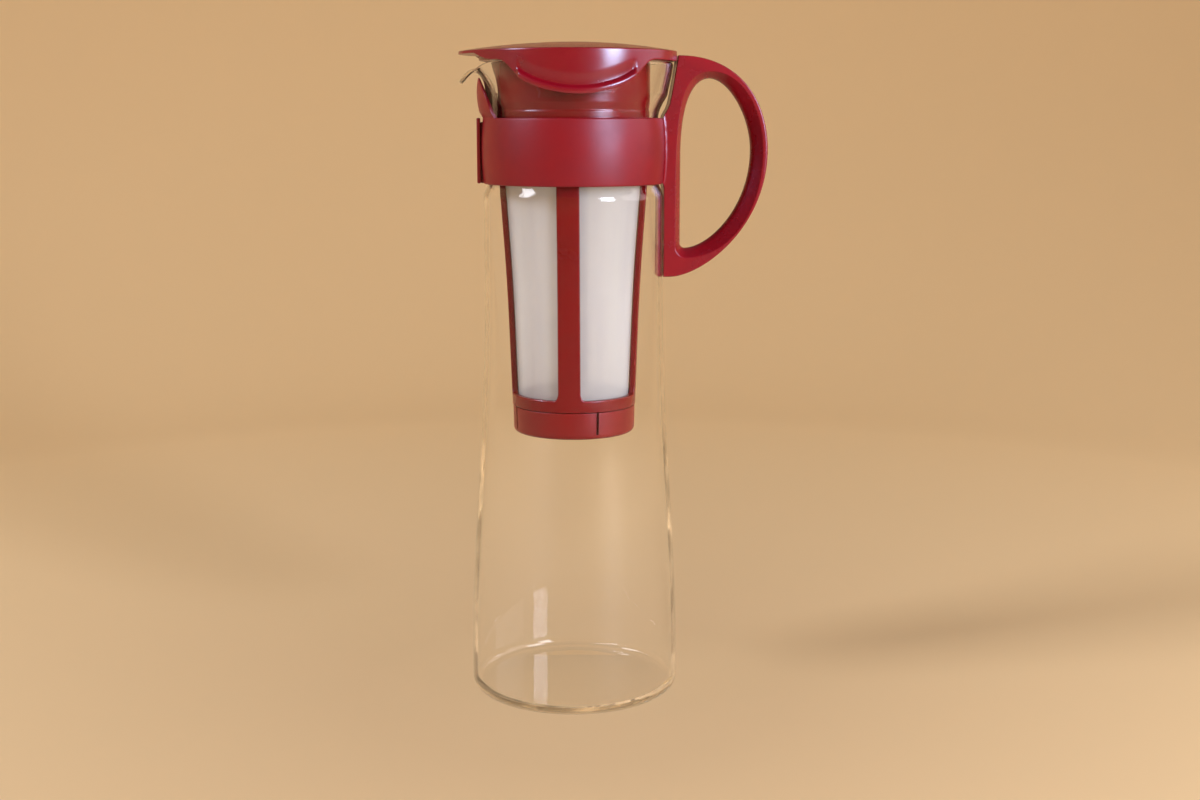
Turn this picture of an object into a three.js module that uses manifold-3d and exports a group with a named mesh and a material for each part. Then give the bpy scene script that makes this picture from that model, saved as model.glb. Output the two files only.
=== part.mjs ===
// Cold brew coffee maker: a tall glass carafe with a clamped neck band and handle,
// a strainer that hangs in the neck, and a lid that sits on the strainer.
// Millimetres, +Z up. The origin is the centre of the carafe's flat base, the handle
// points along +X and the pouring spout along -X.
import * as THREE from 'three';
import { mergeVertices } from 'three/addons/utils/BufferGeometryUtils.js';
import Module from 'manifold-3d';

const wasm = await Module();
wasm.setup();

// Values that every piece shares
const pieceGap = 0.3;
const overrun = 1;
const weldDistance = 1e-4;
const ringSteps = 48;
const roundShares = [0.55, 0.55];

// Carafe: heights are depths below the rim, and radii step in and out from the base's
const carafeHeight = 288;
const baseRadius = 48.1;
const baseCorner = 5;
const baseThickness = 3.2;
const glassWall = 2.1;
const bodyTaper = 7.6;
const neckStep = 2.5;
const flareSpread = 4.1;
const rimSpread = 2.4;
const bodyTopDepth = 88;
const shoulderDepth = 60;
const neckStartDepth = 49.5;
const neckTopDepth = 24.8;
const flareDepth = 14;
const bodyPullShares = [0.36, 0.565];
const shoulderBendShare = 0.43;
const flareLowShares = [0.42, 0.72];
const flareHighShares = [0.25, 0.8];

const bodyTopRadius = baseRadius - bodyTaper;
const neckRadius = bodyTopRadius - neckStep;
const flareRadius = neckRadius + flareSpread;
const rimRadius = flareRadius + rimSpread;
const bodyTopHeight = carafeHeight - bodyTopDepth;
const shoulderHeight = carafeHeight - shoulderDepth;
const neckStartHeight = carafeHeight - neckStartDepth;
const neckTopHeight = carafeHeight - neckTopDepth;
const flareHeight = carafeHeight - flareDepth;

// Spout: a throat below the rim, and a rolled lip beyond it
const spoutOverhang = 5.9;
const spoutTipDepth = 8.4;
const throatSpread = 1.2;
const throatDepth = 12;
const spoutRollDepth = 2.8;
const spoutRollLead = 0.7;
const spoutRollBack = 5.2;
const spoutHalfTurn = 40;
const spoutDropPower = 1.3;
const spoutThroatShares = [0.4, 0.7];
const spoutEdgeShares = [0.87, 0.25];

const spoutReach = rimRadius + spoutOverhang;
const spoutTipHeight = carafeHeight - spoutTipDepth;
const throatRadius = neckRadius + throatSpread;
const throatHeight = carafeHeight - throatDepth;
const spoutRollHeight = carafeHeight - spoutRollDepth;
const spoutRollNear = throatRadius + spoutRollLead;
const spoutRollFar = spoutReach - spoutRollBack;

// Neck band, with its tab under the spout
const bandDrop = 3.7;
const bandRise = 0.7;
const bandWall = 2.5;
const bandCrown = 0.9;
const bandEdge = 0.6;
const bandRelief = 1.1;
const bandReliefHeight = 3;
const bandTopRelief = 0.4;
const tabHeight = 17.5;
const tabWall = 1.6;
const tabTipWall = 0.9;
const tabHalfTurn = 23.5;
const tabLean = 2.6;
const tabRootShare = 0.35;
const tabBowShare = 0.8;
const tabRoot = 1.5;
const tabRoundness = 2.5;

const bandBottom = neckStartHeight - bandDrop;
const bandTop = neckTopHeight + bandRise;
const bandMiddle = (bandBottom + bandTop) / 2;
const bandInner = neckRadius + pieceGap;
const bandOuter = bandInner + bandWall;
const tabTop = bandTop + tabHeight;

// Catch that closes the band
const bandGapHalf = 2;
const catchHalfWidth = 4.6;
const catchProud = 1.6;
const catchCorner = 0.8;

// Boss on the band that snaps into the handle
const bossHalfWidth = 4;
const bossHeight = 20;
const bossDepth = 3;

// Handle: its face lies between the outline and a loop round the finger opening, and its
// ridge is a second loop inside that
const handleThickness = 15;
const handleHeight = 98.4;
const handleTopRise = 3.4;
const handleStandOff = 42.5;
const handleWideDepth = 42.1;
const handleFootDepth = 2.5;
const handleFaceTopWidth = 7;
const handleFaceFootWidth = 8.8;
const handleFaceSideWidth = 2.2;
const handleFaceSpineWidth = 4.7;
const handlePeakLead = 15.5;
const handleSoleLead = 5;
const handleRidgeTopWidth = 3;
const handleRidgeFootWidth = 3.9;
const handleRidgeSideWidth = 4.9;
const handleRidgeSpineWidth = 2.8;
const handleEdge = 1;
const handleRimGap = 2.4;
const handleFlareGap = 1.9;
const handleThroatGap = 3.5;
const handleBandLead = 1.2;
const handleThroatShares = [0.35, 0.555];
const handleTopShares = [0.68, 0.525];
const handleBowShares = [0.33, 0.615];

// The height of each loop's knee, and the pulls of its curves: spine side, far side above,
// far side below
const handleFaceKneeShare = 0.37;
const handleRidgeKneeShare = 0.555;
const handleFaceShares = [[0.83, 0.72], [0.574, 0.548], [0.57, 0.59]];
const handleRidgeShares = [[0.65, 0.61], [0.446, 0.494], [0.36, 0.6]];

const handleTopHeight = carafeHeight + handleTopRise;
const handleBottomHeight = handleTopHeight - handleHeight;
const handleWideHeight = handleTopHeight - handleWideDepth;
const handleReach = rimRadius + handleStandOff;
const handleFootRadius = bodyTopRadius + handleFootDepth;
const handleFaceTop = handleTopHeight - handleFaceTopWidth;
const handleFaceBottom = handleBottomHeight + handleFaceFootWidth;
const handleFaceReach = handleReach - handleFaceSideWidth;
const handleFaceSpine = bandOuter + handleFaceSpineWidth;
const handleRidgeTop = handleFaceTop - handleRidgeTopWidth;
const handleRidgeBottom = handleFaceBottom + handleRidgeFootWidth;
const handleRidgeReach = handleFaceReach - handleRidgeSideWidth;
const handleRidgeSpine = handleFaceSpine + handleRidgeSpineWidth;
const handlePeakRadius = handleFaceSpine + handlePeakLead;
const handleSoleRadius = handleFaceSpine + handleSoleLead;

// Strainer frame: it hangs by its flange, and its depths are measured from the flange's top
const flangeInset = 0.9;
const flangeRelief = 1.8;
const flangeReliefTurn = 42;
const flangeThickness = 2;
const flangeSeat = 0.7;
const flangeSeatWidth = 1.2;
const flangeDraft = 0.1;
const collarGap = 1.55;
const collarWall = 2.85;
const collarDepth = 20;
const grooveDepth = 0.6;
const grooveHeight = 3.4;
const frameWall = 2.6;
const frameTopStep = 0.25;
const frameShoulderDepth = 45.4;
const frameBendDepth = 100;
const frameUpperTaper = 3.85;
const frameLowerTaper = 2.05;
const seamDepth = 156.4;
const windowTopDepth = 47;
const windowRise = 5.3;
const windowCorner = 2.6;
const ribWidth = 10;
const ribCount = 4;
const ribTurn = -6.8;
const spigotHeight = 8.2;
const spigotWall = 1.7;

const flangeBottom = carafeHeight + pieceGap + flangeSeat;
const flangeTop = flangeBottom + flangeThickness;
const flangeRadius = rimRadius - flangeInset;
const flangeReliefRadius = flangeRadius - flangeRelief;
const collarRadius = neckRadius - glassWall - collarGap;
const collarBore = collarRadius - collarWall;
const collarFoot = flangeTop - collarDepth;
const frameTopRadius = collarRadius - frameTopStep;
const frameShoulderHeight = flangeTop - frameShoulderDepth;
const frameBendRadius = frameTopRadius - frameUpperTaper;
const frameBendHeight = flangeTop - frameBendDepth;
const frameBottomRadius = frameBendRadius - frameLowerTaper;
const seamHeight = flangeTop - seamDepth;
const windowTop = flangeTop - windowTopDepth;
const windowBottom = seamHeight + windowRise;

// Mesh sleeve
const meshThickness = 0.8;
const meshHold = 1.6;
const meshTopDepth = 29;

// Strainer cap
const capHeight = 12.5;
const capStep = 0.25;
const capDraft = 0.25;
const capCorner = 2.6;
const capWall = 1.9;
const capSlitTurn = 19.6;
const capSlitCount = 4;
const capSlitWidth = 1.2;
const capSlitHeight = 10.2;

const capRadius = frameBottomRadius - capStep;
const capBottomRadius = capRadius - capDraft;

// Lid: its heights are measured from the strainer's flange, which it sits on
const lidRise = 6;
const lidRimRise = 1.8;
const lidEdge = 0.6;
const lidOverhang = 2.1;
const lidFlatOverhang = 0.7;
const lidPlate = 1.9;
const lidWall = 1.4;
const beakOverhang = 0.4;
const beakHalfTurn = 40;
const beakLift = 0.2;
const beakRiseShare = 0.33;
const skirtDepth = 2.5;
const apronDepth = 17.2;
const apronHalfTurn = 46;
const lipHeight = 3.5;
const lipProud = 1.8;
const lipHalfTurn = 33.5;
const lipFadeTurn = 3;
const lipRoomShare = 0.6;
const plugDepth = 10;
const plugWall = 1.5;
const hollowDrop = 1;
const hollowShare = 0.5;
const domeShares = [0.35, 0.7, 0.93];

// The lip's two bends: shares of its height, and of how far it stands out
const lipRiseShares = [0.62, 0.28];
const lipProudShares = [0.22, 1];

// Shares of the apron's half turn, and of its drop, that its lower edge rises
const apronTurnShares = [0, 0.18, 0.36, 0.52, 0.65, 0.76, 0.87, 0.93, 1];
const apronRiseShares = [0, 0.03, 0.13, 0.26, 0.42, 0.61, 0.89, 0.97, 1];

const lidApex = flangeTop + lidRise;
const lidRimHeight = flangeTop + lidRimRise;
const lidRadius = rimRadius + lidOverhang;
const lidFlat = rimRadius + lidFlatOverhang;
const beakReach = spoutReach + beakOverhang;
const skirtHeight = flangeTop - skirtDepth;
const apronHeight = flangeTop - apronDepth;

// Directions round the axis, in degrees
const front = -90;
const rear = 90;
const spoutSide = 180;

const halfTurn = Math.PI;
const degree = halfTurn / 180;

const lerp = THREE.MathUtils.lerp;
const clamp = THREE.MathUtils.clamp;

// A smooth window: 1 at its middle, 0 from its half turn outwards
function swell(turn, halfWidth) {
  const share = Math.min(Math.abs(turn) / halfWidth, 1);
  return Math.cos(share * halfTurn / 2) ** 2;
}

// The signed turn in degrees from a direction, between -180 and 180
function turnFrom(angle, direction) {
  return THREE.MathUtils.euclideanModulo(angle - direction + 180, 360) - 180;
}

function curve(start, pullStart, pullEnd, end, steps) {
  const points = [start, pullStart, pullEnd, end].map((p) => new THREE.Vector2(p[0], p[1]));
  const path = new THREE.CubicBezierCurve(...points);
  return path.getPoints(steps).map((p) => [p.x, p.y]);
}

// A quarter-round curve between a point with a level tangent and one with an upright tangent
function quarter(level, upright, shares, steps) {
  const pullLevel = [lerp(level[0], upright[0], shares[0]), level[1]];
  const pullUpright = [upright[0], lerp(upright[1], level[1], shares[1])];
  return curve(level, pullLevel, pullUpright, upright, steps);
}

// Evenly spaced points along a straight line
function straight(start, end, steps) {
  return Array.from({ length: steps + 1 }, (_, i) => start.map((s, k) => lerp(s, end[k], i / steps)));
}

// The points of a profile moved to its left by a distance
function offsetProfile(points, distance) {
  return points.map((p, i) => {
    const before = points[Math.max(i - 1, 0)];
    const after = points[Math.min(i + 1, points.length - 1)];
    const along = new THREE.Vector2(after[0] - before[0], after[1] - before[1]).normalize();
    return [p[0] - along.y * distance, p[1] + along.x * distance];
  });
}

// A closed body from cross-sections that follow each other all the way round
function ringBody(sections) {
  const count = sections[0].length;
  const positions = sections.flat(2);
  const index = [];
  sections.forEach((section, s) => {
    const next = (s + 1) % sections.length;
    for (let p = 0; p < count; p += 1) {
      const q = (p + 1) % count;
      const a = s * count + p;
      const b = next * count + p;
      const c = next * count + q;
      const d = s * count + q;
      index.push(a, b, c, a, c, d);
    }
  });
  return closedGeometry(positions, index);
}

// A closed body from cross-sections in a row, with flat ends
function loftBody(sections) {
  const count = sections[0].length;
  const positions = sections.flat(2);
  const index = [];
  for (let s = 0; s + 1 < sections.length; s += 1) {
    for (let p = 0; p < count; p += 1) {
      const q = (p + 1) % count;
      const a = s * count + p;
      const b = (s + 1) * count + p;
      const c = (s + 1) * count + q;
      const d = s * count + q;
      index.push(a, b, c, a, c, d);
    }
  }
  const last = (sections.length - 1) * count;
  for (let p = 1; p + 1 < count; p += 1) {
    index.push(0, p, p + 1);
    index.push(last, last + p + 1, last + p);
  }
  return closedGeometry(positions, index);
}

// Merges equal points, drops the faces that this empties, and turns the faces outwards
function closedGeometry(positions, index) {
  const raw = new THREE.BufferGeometry();
  raw.setAttribute('position', new THREE.Float32BufferAttribute(positions, 3));
  raw.setIndex(index);
  const merged = mergeVertices(raw, weldDistance);
  const order = merged.index.array;
  const kept = [];
  for (let i = 0; i < order.length; i += 3) {
    const [a, b, c] = [order[i], order[i + 1], order[i + 2]];
    if (a !== b && b !== c && a !== c) kept.push(a, b, c);
  }
  const place = merged.attributes.position;
  const corner = (k) => new THREE.Vector3().fromBufferAttribute(place, k);
  let volume = 0;
  for (let i = 0; i < kept.length; i += 3) {
    volume += corner(kept[i]).dot(corner(kept[i + 1]).cross(corner(kept[i + 2])));
  }
  if (volume < 0) kept.reverse();
  merged.setIndex(kept);
  return merged;
}

// A body of revolution whose profile may change with the angle in degrees
function revolved(profileAt, angles) {
  const sections = angles.map((angle) => {
    const cos = Math.cos(angle * degree);
    const sin = Math.sin(angle * degree);
    return profileAt(angle).map(([r, z]) => [r * cos, r * sin, z]);
  });
  return ringBody(sections);
}

function evenAngles(steps) {
  return Array.from({ length: steps }, (_, i) => i * 360 / steps);
}

function toSolid(geometry) {
  const bare = positionOnly(geometry);
  return new wasm.Manifold(new wasm.Mesh({
    numProp: 3,
    vertProperties: Float32Array.from(bare.attributes.position.array),
    triVerts: Uint32Array.from(bare.index.array),
  }));
}

// A copy of a geometry that holds only positions, with equal ones shared
function positionOnly(geometry) {
  const bare = geometry.clone();
  bare.deleteAttribute('normal');
  bare.deleteAttribute('uv');
  return mergeVertices(bare);
}

function toGeometry(solid) {
  const mesh = solid.getMesh();
  const geometry = new THREE.BufferGeometry();
  geometry.setAttribute('position', new THREE.BufferAttribute(mesh.vertProperties, 3));
  geometry.setIndex(new THREE.BufferAttribute(mesh.triVerts, 1));
  return geometry;
}

// A box from its lowest to its highest corner, turned about the vertical axis
function boxSolid(low, high, turn = 0) {
  const size = high.map((value, i) => value - low[i]);
  const middle = high.map((value, i) => (value + low[i]) / 2);
  const box = new THREE.BoxGeometry(...size);
  box.translate(...middle);
  box.rotateZ(turn * degree);
  return toSolid(box);
}

// An upright prism over an outline in the XY plane
function prismSolid(outline, bottom, top) {
  const shape = new THREE.Shape(outline.map(([x, y]) => new THREE.Vector2(x, y)));
  const prism = new THREE.ExtrudeGeometry(shape, { depth: top - bottom, bevelEnabled: false });
  prism.translate(0, 0, bottom);
  return toSolid(prism);
}

const group = new THREE.Group();

function addPiece(name, geometry, material) {
  geometry.computeVertexNormals();
  const mesh = new THREE.Mesh(geometry, material);
  mesh.name = name;
  group.add(mesh);
}

function redPlastic(color, roughness) {
  return new THREE.MeshStandardMaterial({ color, roughness, metalness: 0 });
}

// Glass carafe: outer profile up to the rim, round the rim, and down the inside
const bodySteps = 6;
const bendSteps = 4;
const rimSteps = 3;

function carafeSkin(flare) {
  const corner = quarter([baseRadius - baseCorner, 0], [baseRadius, baseCorner], roundShares, rimSteps);
  const rise = bodyTopHeight - baseCorner;
  const body = curve(
    [baseRadius, baseCorner],
    [baseRadius, baseCorner + rise * bodyPullShares[0]],
    [bodyTopRadius, baseCorner + rise * bodyPullShares[1]],
    [bodyTopRadius, bodyTopHeight],
    bodySteps,
  );
  const shoulderPull = lerp(shoulderHeight, neckStartHeight, shoulderBendShare);
  const shoulder = curve(
    [bodyTopRadius, shoulderHeight],
    [bodyTopRadius, shoulderPull],
    [neckRadius, shoulderPull],
    [neckRadius, neckStartHeight],
    bendSteps,
  );
  return [...corner, ...body.slice(1), ...shoulder, ...flare];
}

function plainFlare() {
  const [bend, slope] = flareLowShares;
  const lower = curve(
    [neckRadius, neckTopHeight],
    [neckRadius, lerp(neckTopHeight, flareHeight, bend)],
    [lerp(neckRadius, flareRadius, slope), lerp(neckTopHeight, flareHeight, slope)],
    [flareRadius, flareHeight],
    bendSteps,
  );
  const rimStart = carafeHeight - glassWall / 2;
  const [leave, arrive] = flareHighShares;
  const upper = curve(
    [flareRadius, flareHeight],
    [lerp(flareRadius, rimRadius, leave), lerp(flareHeight, rimStart, leave)],
    [rimRadius, lerp(flareHeight, rimStart, arrive)],
    [rimRadius, rimStart],
    bendSteps,
  );
  return [...lower, ...upper.slice(1)];
}

function spoutFlare() {
  const [bend, slope] = spoutThroatShares;
  const lower = curve(
    [neckRadius, neckTopHeight],
    [neckRadius, lerp(neckTopHeight, throatHeight, bend)],
    [lerp(neckRadius, throatRadius, slope), lerp(neckTopHeight, throatHeight, slope)],
    [throatRadius, throatHeight],
    bendSteps,
  );
  const upper = curve(
    [throatRadius, throatHeight],
    [spoutRollNear, spoutRollHeight],
    [spoutRollFar, spoutRollHeight],
    [spoutReach - glassWall * spoutEdgeShares[0], spoutTipHeight - glassWall * spoutEdgeShares[1]],
    bendSteps,
  );
  return [...lower, ...upper.slice(1)];
}

function carafeProfile(flare) {
  const outer = carafeSkin(flare);
  const cornerPoints = rimSteps + 1;
  const inner = offsetProfile(outer, glassWall).slice(cornerPoints);
  const outerEnd = outer[outer.length - 1];
  const innerEnd = inner[inner.length - 1];
  const middle = [(outerEnd[0] + innerEnd[0]) / 2, (outerEnd[1] + innerEnd[1]) / 2];
  const out = [outerEnd[0] - middle[0], outerEnd[1] - middle[1]];
  const up = [-out[1], out[0]];
  const rim = [];
  for (let i = 1; i < rimSteps; i += 1) {
    const angle = i * halfTurn / rimSteps;
    rim.push(middle.map((m, k) => m + out[k] * Math.cos(angle) + up[k] * Math.sin(angle)));
  }
  const floorRadius = baseRadius - baseCorner;
  const floor = quarter(
    [floorRadius, baseThickness],
    [baseRadius - glassWall, baseThickness + baseCorner],
    roundShares,
    rimSteps,
  );
  return [[0, 0], ...outer, ...rim, ...inner.reverse(), ...floor.reverse(), [0, baseThickness]];
}

function carafeAngles() {
  const spoutSteps = 12;
  const plainSteps = 34;
  const angles = [];
  for (let i = 0; i < spoutSteps; i += 1) {
    angles.push(spoutSide - spoutHalfTurn + i * 2 * spoutHalfTurn / spoutSteps);
  }
  const rest = 360 - 2 * spoutHalfTurn;
  for (let i = 0; i < plainSteps; i += 1) {
    angles.push(spoutSide + spoutHalfTurn + i * rest / plainSteps);
  }
  return angles;
}

function makeCarafe() {
  const plain = carafeProfile(plainFlare());
  const spout = carafeProfile(spoutFlare());
  return revolved((angle) => {
    const share = swell(turnFrom(angle, spoutSide), spoutHalfTurn);
    const drop = share ** spoutDropPower;
    return plain.map((p, i) => [lerp(p[0], spout[i][0], share), lerp(p[1], spout[i][1], drop)]);
  }, carafeAngles());
}

addPiece('glass_carafe', makeCarafe(), new THREE.MeshStandardMaterial({
  color: 0xe9eeee, roughness: 0.04, metalness: 0, transparent: true, opacity: 0.3,
}));

// Neck band: a crowned strap round the neck, open behind the catch, with a tab and a boss.
// Its outer radius at a height, fullest half way up
function bandRadiusAt(z) {
  const share = (z - bandMiddle) / (bandTop - bandMiddle);
  return bandOuter + bandCrown / 2 - bandCrown * share * share;
}

function bandProfile() {
  const steps = 4;
  const outer = [];
  for (let i = 0; i <= steps; i += 1) {
    const z = lerp(bandBottom + bandEdge, bandTop - bandEdge, i / steps);
    outer.push([bandRadiusAt(z), z]);
  }
  const topEdge = [bandRadiusAt(bandTop) - bandEdge, bandTop];
  const bottomEdge = [bandRadiusAt(bandBottom) - bandEdge, bandBottom];
  return [
    bottomEdge, ...outer, topEdge,
    [bandInner + bandTopRelief, bandTop],
    [bandInner, bandTop - bandReliefHeight],
    [bandInner, bandBottom + bandReliefHeight],
    [bandInner + bandRelief, bandBottom],
  ];
}

// The tab's top at a turn from the spout: a rounded arch
function tabTopAt(turn) {
  const share = clamp(Math.abs(turn) / tabHalfTurn, 0, 1);
  const rise = (1 - share ** tabRoundness) ** (1 / tabRoundness);
  return lerp(bandTop - tabRoot / 2, tabTop, rise);
}

function makeTab() {
  const steps = 14;
  const rows = 4;
  const sections = [];
  for (let s = 0; s <= steps; s += 1) {
    const turn = -tabHalfTurn * Math.cos(s * halfTurn / steps);
    const angle = (spoutSide + turn) * degree;
    const top = tabTopAt(turn);
    const outer = [];
    const inner = [];
    for (let i = 0; i <= rows; i += 1) {
      const z = lerp(bandTop - tabRoot, top, i / rows);
      const share = clamp((z - bandTop) / (tabTop - bandTop), 0, 1);
      const bow = lerp(Math.sin(share * halfTurn * tabBowShare), 1, tabRootShare);
      const radius = bandRadiusAt(bandTop) + tabLean * bow;
      outer.push([radius, z]);
      inner.unshift([radius - lerp(tabWall, tabTipWall, share), z]);
    }
    sections.push([...outer, ...inner].map(([r, z]) => [r * Math.cos(angle), r * Math.sin(angle), z]));
  }
  return toSolid(loftBody(sections));
}

function makeBand() {
  const ring = toSolid(revolved(bandProfile, evenAngles(ringSteps)));
  const clear = bandOuter + bandCrown + tabLean + overrun;
  const gap = boxSolid(
    [-clear, -bandGapHalf, bandBottom - overrun],
    [-bandInner + overrun, bandGapHalf, bandTop - tabRoot],
  );
  const boss = boxSolid(
    [bandOuter - bandWall / 2, -bossHalfWidth, bandMiddle - bossHeight / 2],
    [bandOuter + bossDepth, bossHalfWidth, bandMiddle + bossHeight / 2],
  );
  return ring.add(makeTab()).add(boss).subtract(gap);
}

addPiece('neck_band', toGeometry(makeBand()), redPlastic(0x97202b, 0.42));

// Catch: a T-shaped key whose stem fills the band's gap
function makeCatch() {
  const head = bandOuter + bandCrown / 2 + pieceGap;
  const face = head + catchProud;
  const stem = bandInner + pieceGap;
  const stemHalf = bandGapHalf - pieceGap;
  const bottom = bandBottom + pieceGap;
  const headOutline = [
    [-head, catchHalfWidth], [-face + catchCorner, catchHalfWidth],
    [-face, catchHalfWidth - catchCorner], [-face, -catchHalfWidth + catchCorner],
    [-face + catchCorner, -catchHalfWidth], [-head, -catchHalfWidth],
  ];
  const keyTop = bandTop - tabRoot - pieceGap;
  const key = boxSolid([-head - catchCorner, -stemHalf, bottom], [-stem, stemHalf, keyTop]);
  return prismSolid(headOutline, bottom, bandTop).add(key);
}

addPiece('band_catch', toGeometry(makeCatch()), redPlastic(0x6e0d1b, 0.42));

// Handle: a flat-faced loop whose inside is rounded to a ridge, hollowed to fit what it touches
const handleHalf = handleThickness / 2;

// What the handle's back follows: glass, band, and then the flare at a growing gap
function saddleProfile() {
  const glass = bodyTopRadius + pieceGap;
  const band = bandOuter + bandCrown / 2 + pieceGap;
  const throatRadiusHere = lerp(neckRadius, flareRadius, handleThroatShares[0]);
  const throatHeightHere = lerp(neckTopHeight, flareHeight, handleThroatShares[1]);
  return [
    [0, handleBottomHeight - overrun],
    [glass, handleBottomHeight - overrun],
    [glass, bandBottom - handleBandLead],
    [band, bandBottom - pieceGap],
    [band, bandTop + pieceGap],
    [throatRadiusHere + handleThroatGap, throatHeightHere],
    [flareRadius + handleFlareGap, flareHeight],
    [(flareRadius + rimRadius) / 2 + handleFlareGap, (flareHeight + carafeHeight) / 2],
    [rimRadius + handleRimGap, handleTopHeight + overrun],
    [0, handleTopHeight + overrun],
  ];
}

const turnSteps = 5;
const archSteps = 9;
const bowSteps = 11;
const footSteps = 3;

// The handle's outline, with its straight spine inside the saddle
function handleOutline() {
  const spine = neckRadius;
  const widest = [handleReach, handleWideHeight];
  const topStart = [handleFaceSpine + handleEdge, handleTopHeight];
  const footStart = [handleFootRadius, handleBottomHeight];
  const back = straight([spine, handleFaceBottom], [spine, handleTopHeight], turnSteps);
  const arch = quarter(topStart, widest, handleTopShares, archSteps + turnSteps);
  const bow = quarter(footStart, widest, handleBowShares, bowSteps).reverse();
  const foot = straight(footStart, [spine, handleBottomHeight], footSteps);
  return [...back, ...arch.slice(1), ...bow.slice(1), ...foot.slice(1)];
}

// A loop round the finger opening, with as many points as the outline
function openingLoop({ top, bottom, reach, spine, kneeShare, shares }) {
  const peak = [handlePeakRadius, top];
  const sole = [handleSoleRadius, bottom];
  const widest = [reach, handleWideHeight];
  const knee = [spine, lerp(bottom, top, kneeShare)];
  const heel = [spine, bottom + handleSoleRadius - spine];
  const left = quarter(peak, knee, shares[0], turnSteps * 2).reverse();
  const right = quarter(peak, widest, shares[1], archSteps);
  const low = quarter(sole, widest, shares[2], bowSteps).reverse();
  const foot = quarter(sole, heel, roundShares, footSteps);
  return [...left, ...right.slice(1), ...low.slice(1), ...foot.slice(1)];
}

// The handle's cross-section at one station, from the outline round the ridge and back
function handleSection(outer, face, ridge) {
  const inward = new THREE.Vector2(face[0] - outer[0], face[1] - outer[1]).normalize();
  const rim = [outer[0] + inward.x * handleEdge, outer[1] + inward.y * handleEdge];
  const half = [
    [outer[0], handleHalf - handleEdge, outer[1]],
    [rim[0], handleHalf, rim[1]],
    [face[0], handleHalf, face[1]],
  ];
  for (const angle of [30, 60]) {
    const deep = Math.sin(angle * degree);
    const wide = Math.cos(angle * degree);
    half.push([lerp(face[0], ridge[0], deep), handleHalf * wide, lerp(face[1], ridge[1], deep)]);
  }
  const other = half.map(([x, y, z]) => [x, -y, z]).reverse();
  return [[outer[0], 0, outer[1]], ...half, [ridge[0], 0, ridge[1]], ...other];
}

function makeHandle() {
  const outer = handleOutline();
  const face = openingLoop({
    top: handleFaceTop,
    bottom: handleFaceBottom,
    reach: handleFaceReach,
    spine: handleFaceSpine,
    kneeShare: handleFaceKneeShare,
    shares: handleFaceShares,
  });
  const ridge = openingLoop({
    top: handleRidgeTop,
    bottom: handleRidgeBottom,
    reach: handleRidgeReach,
    spine: handleRidgeSpine,
    kneeShare: handleRidgeKneeShare,
    shares: handleRidgeShares,
  });
  const loop = toSolid(ringBody(outer.map((point, i) => handleSection(point, face[i], ridge[i]))));
  const saddle = toSolid(revolved(saddleProfile, evenAngles(ringSteps * 2)));
  const gripHalf = bossHalfWidth + pieceGap;
  const gripHeight = bossHeight / 2 + pieceGap;
  const pocket = boxSolid(
    [0, -gripHalf, bandMiddle - gripHeight],
    [bandOuter + bossDepth + pieceGap, gripHalf, bandMiddle + gripHeight],
  );
  return loop.subtract(saddle).subtract(pocket);
}

addPiece('handle', toGeometry(makeHandle()), redPlastic(0x8f2733, 0.36));

// Strainer frame: seating flange, collar, four ribs, lower ring and the spigot for the cap
const spigotRadius = capRadius - capWall - pieceGap;
const spigotBore = spigotRadius - spigotWall;

// The frame's outer radius below the collar: straight, then a long taper with a slight bend
function frameRadiusAt(z) {
  if (z > frameBendHeight) {
    const share = clamp((z - frameBendHeight) / (frameShoulderHeight - frameBendHeight), 0, 1);
    return lerp(frameBendRadius, frameTopRadius, share);
  }
  const share = (z - seamHeight) / (frameBendHeight - seamHeight);
  return lerp(frameBottomRadius, frameBendRadius, share);
}

function frameProfile(angle) {
  const ease = Math.sqrt(swell(turnFrom(angle, spoutSide), flangeReliefTurn));
  const edge = lerp(flangeRadius, flangeReliefRadius, ease);
  const seatBottom = flangeBottom - lerp(flangeSeat, flangeDraft, ease);
  const seatInner = edge - flangeSeatWidth;
  const grooveFoot = collarFoot - grooveHeight;
  const spigotEnd = seamHeight - spigotHeight;
  return [
    [collarBore, flangeTop],
    [edge - bandEdge, flangeTop],
    [edge, flangeTop - bandEdge],
    [edge, seatBottom],
    [seatInner, seatBottom],
    [seatInner - flangeSeat, flangeBottom],
    [collarRadius + bandEdge, flangeBottom + flangeDraft],
    [collarRadius, flangeBottom - bandEdge],
    [collarRadius, collarFoot],
    [collarRadius - grooveDepth, grooveFoot],
    [frameTopRadius, grooveFoot - grooveDepth],
    [frameTopRadius, frameShoulderHeight],
    [frameBendRadius, frameBendHeight],
    [frameRadiusAt(windowBottom), windowBottom],
    [frameBottomRadius, seamHeight + bandEdge / 2],
    [frameBottomRadius - bandEdge / 2, seamHeight],
    [spigotRadius, seamHeight],
    [spigotRadius, spigotEnd + bandEdge],
    [spigotRadius - bandEdge, spigotEnd],
    [spigotBore, spigotEnd],
    [spigotBore, seamHeight],
    [frameRadiusAt(seamHeight + meshHold) - frameWall, seamHeight + meshHold],
    [frameBendRadius - frameWall, frameBendHeight],
    [frameTopRadius - frameWall, frameShoulderHeight],
  ];
}

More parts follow.
